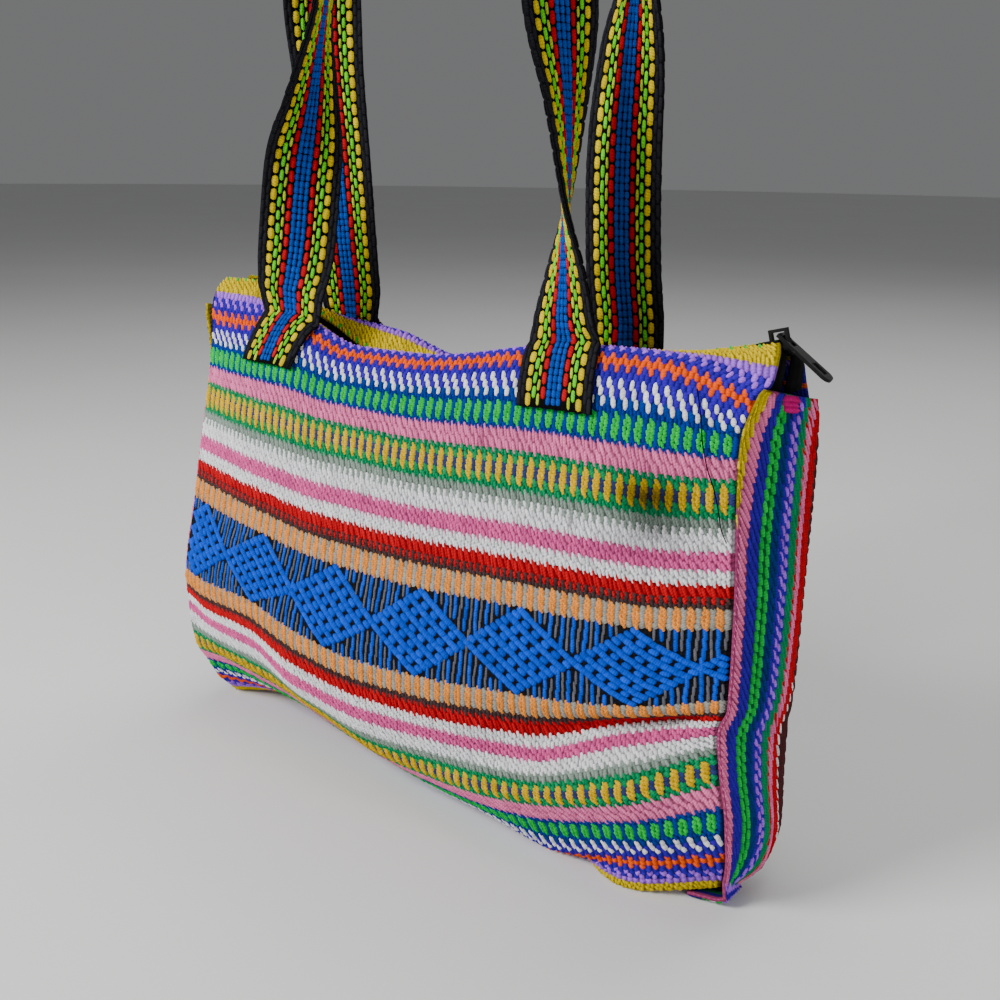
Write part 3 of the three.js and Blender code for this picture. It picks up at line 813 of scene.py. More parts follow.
@dataclass(frozen=True)
class GroundFinish:
    """Striped ground cloth under the raised yarns, drawn darker than its dyes as painted shade in the
    gaps between them.

    Attributes:
        name: name of the material.
        ruler: how the stripes are counted.
        stripes: where each stripe starts, and its dye.
        span: length of the whole count.
        depth: how light the ground is drawn against the dyes, as painted shade between the raised yarns.
        row: spacing of the woven rows.
        grain: scale of the fuzz.
        tones: shares of ribs, rows and fuzz in the lightness, and the least lightness.
        relief: height of the weave, in metres.
    """

    name: str
    ruler: Ruler
    stripes: tuple[tuple[float, Dye], ...]
    span: float
    depth: float = 0.4
    row: float = 2.4
    grain: float = 420.0
    tones: tuple[float, float, float, float] = (0.25, 0.2, 0.4, 0.4)
    relief: float = 0.0005

    def make(self) -> bpy.types.Material:
        """Builds the material.

        Returns:
            The new material.
        """
        book = NodeBook(self.name)
        across, along = book.place("weave")
        place = across
        if self.ruler is Ruler.BODY:
            length = FACE_LENGTH - (along - FACE_LENGTH).math("ABSOLUTE")
            place = (length - MIDDLE_BAND).math("ABSOLUTE")
        elif self.ruler is Ruler.OUTWARD:
            place = across.math("ABSOLUTE")
        # The stripe dyes are darkened by depth: painted shade in the gaps between the raised yarns.
        stops = [(start / self.span, opaque(dye.linear() * self.depth)) for start, dye in self.stripes]
        colour = book.out("ShaderNodeValToRGB", {"stops": stops}, {0: place / self.span})
        rib = across.wave(PITCH / 3)
        row = (along + across * 0.25).wave(self.row)
        fuzz = book.cloud(self.grain)
        tone = rib * self.tones[0] + row * self.tones[1] + fuzz * self.tones[2] + self.tones[3]
        return book.finish({
            "Base Color": book.mix(1.0, colour, book.grey(tone), "MULTIPLY"),
            "Roughness": fuzz * 0.15 + 0.82,
            "Normal": book.bump(rib + row + fuzz, self.relief, 0.7),
            "Specular IOR Level": 0.1,
        })


@dataclass(frozen=True)
class FibreFinish:
    """Plain fibres of one dye: zip tape and loose thread.

    Attributes:
        name: name of the material.
        dye: its colour.
        grain: scale of the fuzz.
        rib: spacing of the ribs, in metres.
        tones: shares of ribs and fuzz in the lightness, and the least lightness.
        relief: height of the ribs, in metres.
    """

    name: str
    dye: Dye
    grain: float = 700.0
    rib: float = 0.0011
    tones: tuple[float, float, float] = (0.5, 0.7, 0.4)
    relief: float = 0.0003

    def make(self) -> bpy.types.Material:
        """Builds the material.

        Returns:
            The new material.
        """
        book = NodeBook(self.name)
        fuzz = book.cloud(self.grain)
        spot = book.out("ShaderNodeTexCoord", which="Object")
        parts = book.node("ShaderNodeSeparateXYZ", sockets={0: spot})
        rib = Wire(book, parts.outputs[0]).wave(self.rib)
        tone = rib * self.tones[0] + fuzz * self.tones[1] + self.tones[2]
        return book.finish({
            "Base Color": book.mix(1.0, opaque(self.dye.linear()), book.grey(tone), "MULTIPLY"),
            "Roughness": fuzz * 0.15 + 0.8,
            "Normal": book.bump(rib + fuzz * 0.5, self.relief, 0.6),
            "Specular IOR Level": 0.05,
        })


@dataclass(frozen=True)
class MetalFinish:
    """Black lacquered zip metal, rubbed bare in a few places.

    Attributes:
        name: name of the material.
        patches: scale and detail of the rubbed places.
        worn_from: height of their noise where the lacquer starts to go.
        steep: how fast it goes.
        grain: scale of the fine marks.
        lacquer: colour of the lacquer.
        bare: colour of the rubbed metal.
    """

    name: str
    patches: tuple[float, float] = (260.0, 6.0)
    worn_from: float = 0.62
    steep: float = 9.0
    grain: float = 1500.0
    lacquer: tuple[float, float, float, float] = (0.004, 0.004, 0.0045, 1)
    bare: tuple[float, float, float, float] = (0.05, 0.049, 0.048, 1)

    def make(self) -> bpy.types.Material:
        """Builds the material.

        Returns:
            The new material.
        """
        book = NodeBook(self.name)
        worn = book.cloud(*self.patches)
        rubbed = ((worn - self.worn_from) * self.steep).math("MAXIMUM", 0.0).math("MINIMUM", 1.0)
        fine = book.cloud(self.grain)
        return book.finish({
            "Base Color": book.mix(rubbed, self.lacquer, self.bare),
            "Metallic": rubbed * 0.7 + 0.1,
            "Roughness": fine * 0.3 + 0.4,
            "Normal": book.bump(fine, 0.00008, 0.4),
            "Specular IOR Level": 0.2,
        })


@dataclass(frozen=True)
class FloorFinish:
    """Plain pale studio floor.

    Attributes:
        name: name of the material.
        grain: scale of its soft clouds.
        darker: colour of their darker places.
        lighter: colour of their lighter places.
    """

    name: str
    grain: float = 3.0
    darker: tuple[float, float, float, float] = (0.70, 0.70, 0.69, 1)
    lighter: tuple[float, float, float, float] = (0.76, 0.76, 0.75, 1)

    def make(self) -> bpy.types.Material:
        """Builds the material.

        Returns:
            The new material.
        """
        book = NodeBook(self.name)
        cloud = book.cloud(self.grain)
        return book.finish({
            "Base Color": book.mix(cloud, self.darker, self.lighter),
            "Roughness": cloud * 0.1 + 0.6,
        })


def dress(piece: bpy.types.Object, material: bpy.types.Material, body: str = "bag") -> None:
    """Gives a piece its finish and the body that it moves with, and logs it.

    Args:
        piece: the piece.
        material: its finish.
        body: the body that it rides on.
    """
    piece.data.materials.clear()
    piece.data.materials.append(material)
    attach(piece, body)
    count = sum(len(p.vertices) - 2 for p in piece.data.polygons) if piece.type == "MESH" else 0
    log.info("%s: %d triangles", piece.name, count)


@dataclass
class BodyCloth:
    """The long striped cloth: front, bottom fold and back.

    Attributes:
        columns: grid columns across the bag.
        step: cloth length between grid rows.
        ground: height of the ground cloth's face against the solid's outer face.
        inside: height of its inner face.
        lean: how far the strands lean from upright, in degrees.
        more_lean: how much more the narrow strands lean.
        slack: how far the cloth ripples between its bands.
        frees: cloth lengths between which the ripples set in below the straps' feet.
        holds: cloth lengths between which they die out above the bottom fold.
        stitch_at: cloth length of the green stitches along the zip edge.
        stitch_step: spacing of these stitches.
        streak_row: usual length of one row of streaks.
        diamond_at: place across of the middle diamond.
        diamond_half: half the width of a diamond.
    """

    columns: int = 112
    step: float = 2.6
    ground: float = -0.6
    inside: float = -2.2
    lean: float = 15.0
    more_lean: float = 6.0
    slack: float = 0.45
    frees: tuple[float, float] = (66.0, 84.0)
    holds: tuple[float, float] = (288.0, 306.0)
    stitch_at: float = 2.2
    stitch_step: float = 6.4
    streak_row: float = 4.3
    diamond_at: float = 15.8
    diamond_half: float = 27.8

    def __post_init__(self) -> None:
        """Works out the grid of the whole cloth."""
        sections = np.linspace(-1, 1, self.columns)
        lengths = np.linspace(0, FACE_LENGTH, round(FACE_LENGTH / self.step) + 1)
        behind = cloth(BACK, sections, lengths[-2::-1])
        points = np.concatenate([cloth(FRONT, sections, lengths), behind])
        along = np.concatenate([lengths, 2 * FACE_LENGTH - lengths[-2::-1]])
        self.weave = Weave(points, facing(points, 1), sections * HALF_CLOTH, along)
        self._ripple()

    def _ripple(self) -> None:
        """Adds the small slack of the cloth between its bands."""
        length = FACE_LENGTH - np.abs(self.weave.along - FACE_LENGTH)
        free = smooth(*self.frees, length) * (1 - smooth(*self.holds, length))
        u, v = np.meshgrid(self.weave.across, self.weave.along)
        broad = np.sin(u / 19 + v / 31) * np.sin(v / 15 + 0.6 * np.sin(u / 37))
        narrow = 0.5 * np.sin(u / 9.5 - v / 24)
        edge = 1 - smooth(0.9, 1.0, np.abs(u) / HALF_CLOTH)
        height = self.slack * (broad + narrow) * free[:, None] * edge
        self.weave.points += self.weave.out * height[..., None]
        self.weave.out = facing(self.weave.points, 1)

    def build(self) -> list[bpy.types.Object]:
        """Builds the ground cloth and the yarns of its two faces.

        Returns:
            The ground, the yarns of the front and the yarns of the back.
        """
        u, v = np.meshgrid(self.weave.across, self.weave.along)
        ground = shell("woven_body", self.weave.offset(self.ground), self.weave.offset(self.inside),
                       np.stack([u, v], axis=-1))
        lift = self.ground - SUNK
        front = self._chart("body_yarns_front", seed=11, behind=False).build(self.weave, lift, DARK_MARKS)
        back = self._chart("body_yarns_back", seed=12, behind=True).build(self.weave, lift)
        return [ground, front, back]

    def _chart(self, name: str, seed: int, behind: bool) -> Strands:
        """Gathers the strands of one face.

        Args:
            name: name of the yarn piece.
            seed: start of its random differences.
            behind: whether it is the back of the bag.

        Returns:
            The gathered strands.
        """
        strands = Strands(name, seed)
        row = 0
        start = 0.0
        for band in BANDS[:-1]:
            for a, b in ((start, band.to), (2 * MIDDLE_BAND - band.to, 2 * MIDDLE_BAND - start)):
                span = (a, min(b, FACE_LENGTH))
                if band.motif is Motif.CLUMP:
                    self._clumps(strands, band, span, behind)
                elif band.motif is Motif.BRICK:
                    self._bricks(strands, band, span, behind, row)
                else:
                    self._streaks(strands, band, span, behind)
            row += band.rows
            start = band.to
        self._diamonds(strands, start, behind)
        stitches = np.arange(-HALF_CLOTH + 4, HALF_CLOTH - 3, self.stitch_step)
        edge = self._along(self.stitch_at, behind)
        strands.add(stitches, edge, (4.2, 2.2, 1.45), self.lean, Dye.GREEN, loose=0.05)
        return strands

    @staticmethod
    def _along(length: np.ndarray, behind: bool) -> np.ndarray:
        """Woven coordinate of a cloth length from the zip edge, on the front or the back."""
        return 2 * FACE_LENGTH - length if behind else length

    @staticmethod
    def _posts(shift: float, step: float = PITCH) -> np.ndarray:
        """Places of the figures along a band."""
        return np.arange(-HALF_CLOTH + FIRST_POST + (shift % 1.0) * step, HALF_CLOTH - LAST_POST, step)

    def _streaks(self, strands: Strands, band: Band, span: tuple[float, float], behind: bool) -> None:
        """Narrow strands side by side, every second one set over a little.

        Args:
            strands: the strands that they are added to.
            band: the stripe.
            span: cloth lengths where the stripe starts and ends.
            behind: whether it is on the back of the bag.
        """
        overlap, least = 1.35, 3.4
        rows = max(1, round((span[1] - span[0]) / self.streak_row))
        height = (span[1] - span[0]) / rows
        size = (max(height * overlap, least), 1.75, 1.0)
        columns = self._posts(0.0, PITCH / 3)
        for first, over, dye in ((0, 0.16, band.dye), (1, -0.16, band.between or band.dye)):
            for k in range(rows):
                middle = self._along(span[0] + (k + 0.5 + over) * height, behind)
                strands.add(columns[first::2], middle, size, self.lean + self.more_lean, dye, loose=0.08)

    def _bricks(self, strands: Strands, band: Band, span: tuple[float, float], behind: bool,
                row: int) -> None:
        """Rows of short wide strands, each row set over from the one above.

        Args:
            strands: the strands that they are added to.
            band: the stripe.
            span: cloth lengths where the stripe starts and ends.
            behind: whether it is on the back of the bag.
            row: number of its first row, counted from the zip edge.
        """
        overlap, least, most, set_over = 1.4, 4.6, 5.2, 0.42
        height = (span[1] - span[0]) / band.rows
        size = (min(max(height * overlap, least), most), 2.7, 1.2)
        low = (size[0], 2.6, 0.85 if band.between else 1.05)
        between = band.between or band.dye
        for k in range(band.rows):
            middle = self._along(span[0] + (k + 0.5) * height, behind)
            shift = set_over * (row + k)
            strands.add(self._posts(shift), middle, size, self.lean, band.dye, loose=0.07)
            strands.add(self._posts(shift + 0.5), middle, low, self.lean, between, loose=0.07)

    def _clumps(self, strands: Strands, band: Band, span: tuple[float, float], behind: bool) -> None:
        """Plump tabs of small strands in two columns, with flat yarn between the tabs.

        Args:
            strands: the strands that they are added to.
            band: the stripe.
            span: cloth lengths where the stripe starts and ends.
            behind: whether it is on the back of the bag.
        """
        a, b = span
        set_over = 0.22
        posts = self._posts(0.2)
        for k in range(band.rows):
            for side in (-1, 1):
                part = (k + 0.5 + set_over * side) / band.rows
                bulge = math.sin(math.pi * min(max(part, 0.1), 0.9))
                place = posts + side * band.plump * (0.45 + 0.55 * bulge)
                middle = self._along(a + (b - a) * part, behind)
                size = (3.7, 1.5 + 0.9 * bulge, 0.9 + 0.6 * bulge)
                strands.add(place, middle, size, self.lean + self.more_lean, band.dye, loose=0.06)
        flat = (4.2, 5.4 - 2.9 * band.plump, 0.75)
        for part, outer in ((0.14, True), (0.38, False), (0.62, False), (0.86, True)):
            dye = band.teeth if band.teeth and outer else band.between or band.dye
            middle = self._along(a + (b - a) * part, behind)
            strands.add(posts + PITCH / 2, middle, flat, self.lean, dye, loose=0.06)

    def _diamonds(self, strands: Strands, start: float, behind: bool) -> None:
        """The band of basket diamonds between thin upright lines.

        Args:
            strands: the strands that they are added to.
            start: cloth length where the band starts.
            behind: whether it is on the back of the bag.
        """
        half = MIDDLE_BAND - start
        middle, wide = self.diamond_at, self.diamond_half
        step, drop = wide / 5, half / 5.5
        centres = middle + 2 * wide * np.arange(-4, 4)
        filled, bare = 1.04, 1.1

        def reach(across: np.ndarray, length: np.ndarray) -> np.ndarray:
            """How far a place is from the nearest diamond's middle, 1 at its edge."""
            near = np.min(np.abs(across[..., None] - centres), axis=-1)
            return near / wide + np.abs(length - MIDDLE_BAND) / half

        i, j = (grid.ravel() for grid in np.meshgrid(np.arange(-40, 41), np.arange(-40, 41)))
        lean = math.degrees(math.atan2(step, drop))
        for aside, ahead, size in (
            (-step / 2, drop / 2, (5.4, 3.7, 1.6)),
            (0.0, drop, (5.4, 3.7, 1.6)),
            (step / 2, drop / 2, (5.2, 3.4, 1.3)),
        ):
            across = middle + step * (i - j) + aside
            length = MIDDLE_BAND + drop * (i + j) + ahead
            inside = (np.abs(across) < HALF_CLOTH - 1.5) & (reach(across, length) < filled)
            along = self._along(length[inside], behind)
            strands.add(across[inside], along, size, lean, Dye.AZURE, loose=0.05)
        lines = ((0.2, Dye.AZURE, (8.0, 2.2, 0.95)), (0.7, Dye.COAL, (7.6, 1.5, 0.7)))
        for part in np.linspace(0.06, 0.94, 8):
            for shift, dye, size in lines:
                across = self._posts(shift)
                length = np.full_like(across, start + 2 * half * part)
                free = reach(across, length) > bare
                sway = 0.3 * np.sin(across * 1.7 + part * 9)
                along = self._along(length[free], behind)
                strands.add(across[free] + sway[free], along, size, 4, dye, loose=0.04)

    def dress(self, pieces: list[bpy.types.Object], yarn: bpy.types.Material) -> None:
        """Args:
            pieces: the ground and its yarns, as built.
            yarn: finish of the yarns.
        """
        ground, *yarns = pieces
        stripes = [(0.0, Dye.CHARCOAL)]
        stripes += [(MIDDLE_BAND - band.to, band.between or band.dye) for band in reversed(BANDS[:-1])]
        finish = GroundFinish("striped_ground", Ruler.BODY, tuple(stripes), MIDDLE_BAND)
        dress(ground, finish.make())
        for piece in yarns:
            dress(piece, yarn)
        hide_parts("body_cloth")


@dataclass(frozen=True)
class Lane:
    """One stripe of strands along a gusset or strap.

    Attributes:
        start: where it starts across the strip.
        end: where it ends.
        dye: colour of its strands.
        columns: lines of strands side by side.
        size: length and width of its strands.
        pitch: spacing of the strands along.
        slant: how far they lean, in degrees.
        rise: height of the strands.
        under: colour of the ground under them, where it differs.
        stagger: how far every second line is set over, in pitches.
        below: how far down a gusset its strands start.
    """

    start: float
    end: float
    dye: Dye
    columns: int
    size: tuple[float, float]
    pitch: float
    slant: float = 0.0
    rise: float = 0.95
    under: Dye | None = None
    stagger: float = 0.5
    below: float = 1.6

    def lines(self) -> list[tuple[float, float]]:
        """Place across of each line of strands, and how far along its first strand starts."""
        step = (self.end - self.start) / self.columns
        return [(self.start + (k + 0.5) * step, self.stagger * self.pitch * (k % 2))
                for k in range(self.columns)]


GUSSET_LANES = (
    Lane(0, 7, Dye.YELLOW, 4, (6.6, 2.2), 5.2, 16),
    Lane(7, 15, Dye.PINK, 1, (11.0, 2.1), 3.4, 34, 1.4, Dye.MAUVE),
    Lane(15, 22, Dye.VIOLET, 4, (6.6, 2.2), 5.2, 18),
    Lane(22, 31, Dye.GREEN, 2, (5.4, 3.1), 4.8, 14, 1.3, Dye.EMERALD),
    Lane(31, 37, Dye.DEEP_BLUE, 3, (6.6, 2.4), 5.2, 18),
    Lane(37, 47, Dye.PURPLE, 5, (6.4, 2.4), 5.2, 18, 0.8),
    Lane(38.4, 45.6, Dye.LILAC, 2, (4.6, 2.0), 5.3, 18, 1.4),
    Lane(47, 54, Dye.EMERALD, 4, (6.6, 2.2), 5.2, 18),
    Lane(54, 61, Dye.RED, 3, (6.4, 2.6), 5.2, 18, 0.8),
    Lane(54, 60.5, Dye.PINK, 1, (10.0, 1.5), 3.6, 30, 1.35),
    Lane(61, 69, Dye.RED, 5, (6.4, 2.2), 5.2, 18),
    Lane(66, 69, Dye.WHITE, 1, (5.4, 1.5), 4.6, 30, 1.3, Dye.RED, below=125),
    Lane(69, 84, Dye.BROWN, 7, (6.4, 2.4), 5.2, 18),
)
# Strands on the tongue that the right gusset turns under the bag, from its foot inwards.
TONGUE_DYES = (Dye.LILAC, Dye.VIOLET, Dye.LILAC, Dye.GREEN, Dye.WHITE, Dye.GREEN, Dye.BLUE, Dye.VIOLET)
# How far the strip has slipped under the front seam, at some places down the gusset.
SLIP_AT = (0.0, 40.0, 60.0, 150.0)
SLIP_BY = (0.0, 6.4, 9.2, 10.0)
# Turns of the columns that run round a gusset's edge.
EDGE_TURNS = np.radians([30, 60, 90, 120])


@dataclass
class Gusset:
    """A striped end piece of the bag, whose yarns run round its sewn edges.

    Attributes:
        name: name of the piece.
        node: the solid that it stands for.
        sign: -1 for the left end, 1 for the right.
        back: cloth length where its top meets the back panel.
        ear: how far its top front corner flares out.
        lap: how far its edges reach past the panels.
        tongue: rows turned under the bag: x, z, near y, far y, tilt in degrees.
        front: cloth length where its top meets the front panel.
        foot: cloth length where it ends at the bottom.
        swell: how far its middle bows out.
        thick: thickness of the solid.
        span: woven width from edge to edge.
        least: width below which the lanes draw together.
        round: radius of its edges.
        ground: height of the ground cloth's face against the solid's outer face.
        inside: height of the ground cloth's inner face against the solid's.
        clear: gap between the gusset and the ends of the panels.
        wrap: how far the strands run round its edges.
        patch: the magenta patch at its top: middle across, half its width, and its length.
        patch_rows: rows of the patch, from the top.
        rows: grid rows down the upright part.
        columns: grid columns from edge to edge.
    """

    name: str
    node: str
    sign: int
    back: float
    ear: float
    lap: float
    tongue: tuple[tuple[float, float, float, float, float], ...] = ()
    front: float = 27.0
    foot: float = 311.0
    swell: float = 3.0
    thick: float = 2.2
    span: float = 60.0
    least: float = 52.0
    round: float = 1.1
    ground: float = -0.5
    inside: float = 0.25
    clear: float = 0.4
    wrap: float = 2.3
    patch: tuple[float, float, float] = (31.0, 9.0, 7.6)
    patch_rows: tuple[float, ...] = (1.5, 3.6, 5.7)
    rows: int = 110
    columns: int = 28

    def __post_init__(self) -> None:
        """Works out the grid of the gusset's outer face and of its rounded edges."""
        t = np.linspace(0, 1, self.rows)
        w = np.linspace(0, 1, self.columns)
        end = np.array([float(self.sign)])
        near = cloth(FRONT, end, self.front + (self.foot - self.front) * t)[:, 0]
        far = cloth(BACK, end, self.back + (self.foot - self.back) * t)[:, 0]
        points = near[:, None] * (1 - w)[None, :, None] + far[:, None] * w[None, :, None]
        bowed = smooth(0, 0.15, t) * (1 - smooth(0.8, 1, t))
        bow = (self.swell * 4 * w * (1 - w))[None] * bowed[:, None]
        flare = self.ear * (1 - smooth(0, 0.14, t))[:, None] * (1 - smooth(0, 0.5, w))[None]
        points[..., 1] += self.lap * (2 * w - 1)[None]
        points[..., 0] += self.sign * (self.clear + bow + flare + self.thick)
        points = np.concatenate([points, *self._tongue(points[-1], w)])
        out = facing(points, self.sign)
        middle = points[:, len(w) // 2]
        along = np.concatenate([[0], np.cumsum(np.linalg.norm(np.diff(middle, axis=0), axis=1))])
        self.end_of_face = along[len(t) - 1]
        self.widths = np.linalg.norm(points[:, -1] - points[:, 0], axis=1)
        self.face = Weave(points, out, w * self.span, along)
        first, first_out = self._edge(points[:, 0], out[:, 0], points[:, 0] - points[:, 1])
        last, last_out = self._edge(points[:, -1], out[:, -1], points[:, -1] - points[:, -2])
        arc = self.round * EDGE_TURNS
        self.weave = Weave(
            np.concatenate([first[:, ::-1], points, last], axis=1),
            np.concatenate([first_out[:, ::-1], out, last_out], axis=1),
            np.concatenate([-arc[::-1], w * self.span, self.span + arc]),
            along,
        )

    def _tongue(self, last: np.ndarray, w: np.ndarray) -> list[np.ndarray]:
        """Rows of the part that is turned under the bag, in even steps from the gusset's foot.

        Args:
            last: the last row of the upright part.
            w: places across, from 0 to 1.

        Returns:
            The rows, each as a grid of one row.
        """
        rows = []
        steps = 4
        before = last
        for x, z, near, far, tilt in self.tongue:
            angle = math.radians(tilt)
            turned = self.thick * np.array([self.sign * math.cos(angle), 0, -math.sin(angle)])
            flat = np.stack([np.full_like(w, x), near + (far - near) * w, np.full_like(w, z)], axis=-1)
            row = flat + turned
            rows += [(before + (row - before) * k / steps)[None] for k in range(1, steps + 1)]
            before = row
        return rows

    def _edge(self, edge: np.ndarray, out: np.ndarray,
              side: np.ndarray) -> tuple[np.ndarray, np.ndarray]:
        """Columns that run round an edge.

        Args:
            edge: points of the edge.
            out: directions out of the face there.
            side: directions past the edge.

        Returns:
            Points of the columns, and the directions out of them.
        """
        side = unit(side)
        centre = edge - out * self.round - side * 0.6 * self.round
        ahead = out[:, None] * np.cos(EDGE_TURNS)[None, :, None]
        turned = ahead + side[:, None] * np.sin(EDGE_TURNS)[None, :, None]
        return centre[:, None] + turned * self.round, turned

    @staticmethod
    def _shift(along: np.ndarray) -> np.ndarray:
        """How far the strip has slipped under the front seam, down the gusset."""
        return np.interp(along, SLIP_AT, SLIP_BY)

    def _place(self, strip: np.ndarray, along: np.ndarray) -> np.ndarray:
        """Woven coordinates across of places on the strip.

        Args:
            strip: places across the strip, before it slips under the seam.
            along: places down the gusset.

        Returns:
            One coordinate for each place.
        """
        wide = np.maximum(np.interp(along, self.face.along, self.widths), self.least)
        inward = strip - self._shift(along)
        over = self.span + inward - wide
        return np.where(inward < 0, inward, np.where(inward > wide, over, inward * self.span / wide))

    def build(self) -> list[bpy.types.Object]:
        """Builds the ground cloth and its yarns.

        Returns:
            The ground and the yarns.
        """
        along = self.face.along
        strip = self.face.across[None] * (np.maximum(self.widths, self.least) / self.span)[:, None]
        strip = strip + self._shift(along)[:, None]
        places = np.stack([strip, np.broadcast_to(along[:, None], strip.shape)], axis=-1)
        inner = self.face.offset(self.inside - self.thick)
        ground = shell(self.name, self.face.offset(self.ground), inner, places)
        strands = Strands(f"{self.name}_yarns", 21 + self.sign)
        middle, half, deep = self.patch
        for lane in GUSSET_LANES:
            for place, first in lane.lines():
                v = np.arange(lane.below + first, self.end_of_face, lane.pitch)
                u = self._place(np.full_like(v, place), v)
                covered = (v < deep) & (np.abs(u - middle) < half)
                kept = (u > -self.wrap) & (u < self.span + self.wrap) & ~covered
                strands.add(u[kept], v[kept], (*lane.size, lane.rise), lane.slant, lane.dye, loose=0.05)
        for v in self.patch_rows:
            reach = half - 1 - v / 2
            row = np.arange(middle - reach, middle + reach, 3.2)
            strands.add(row, v, (4.6, 3.0, 1.9), 72, Dye.MAGENTA, loose=0.05)
        if self.tongue:
            steps = np.linspace(self.end_of_face + 2, along[-1] - 1.5, len(TONGUE_DYES))
            for v, dye in zip(steps, TONGUE_DYES):
                strands.add(np.linspace(2, self.span - 2, 7), v, (5.2, 9.5, 1.1), 30, dye, loose=0.05)
        return [ground, strands.build(self.weave, self.ground - SUNK)]

    def dress(self, pieces: list[bpy.types.Object], yarn: bpy.types.Material) -> None:
        """Args:
            pieces: the ground and its yarns, as built.
            yarn: finish of the yarns.
        """
        ground, yarns = pieces
        # The lilac dashes lie on the purple lane and have no stripe of their own in the ground.
        lanes = [lane for lane in GUSSET_LANES if lane.dye is not Dye.LILAC]
        stripes = tuple((lane.start, lane.under or lane.dye) for lane in lanes)
        finish = GroundFinish(f"{self.name}_ground", Ruler.ACROSS, stripes, GUSSET_LANES[-1].end)
        dress(ground, finish.make())
        dress(yarns, yarn)
        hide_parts(self.node)


STRAP_LANES = (
    Lane(-3.9, 3.9, Dye.STRAP_BLUE, 3, (3.5, 2.6), 3.25, under=Dye.BLACK, stagger=0.0),
    Lane(3.9, 7.0, Dye.RED, 1, (5.9, 2.9), 6.5, under=Dye.BLACK),
    Lane(7.0, 9.0, Dye.CREAM, 1, (5.2, 1.7), 6.5, under=Dye.BLACK),
    Lane(9.0, 11.4, Dye.LIME, 1, (5.6, 2.3), 6.5, under=Dye.BLACK),
    Lane(11.4, 15.0, Dye.YELLOW, 1, (5.7, 3.4), 6.5, under=Dye.BLACK, rise=1.05),
    Lane(15.0, 19.2, Dye.CHARCOAL, 2, (6.5, 2.1), 6.5, rise=0.75),
)


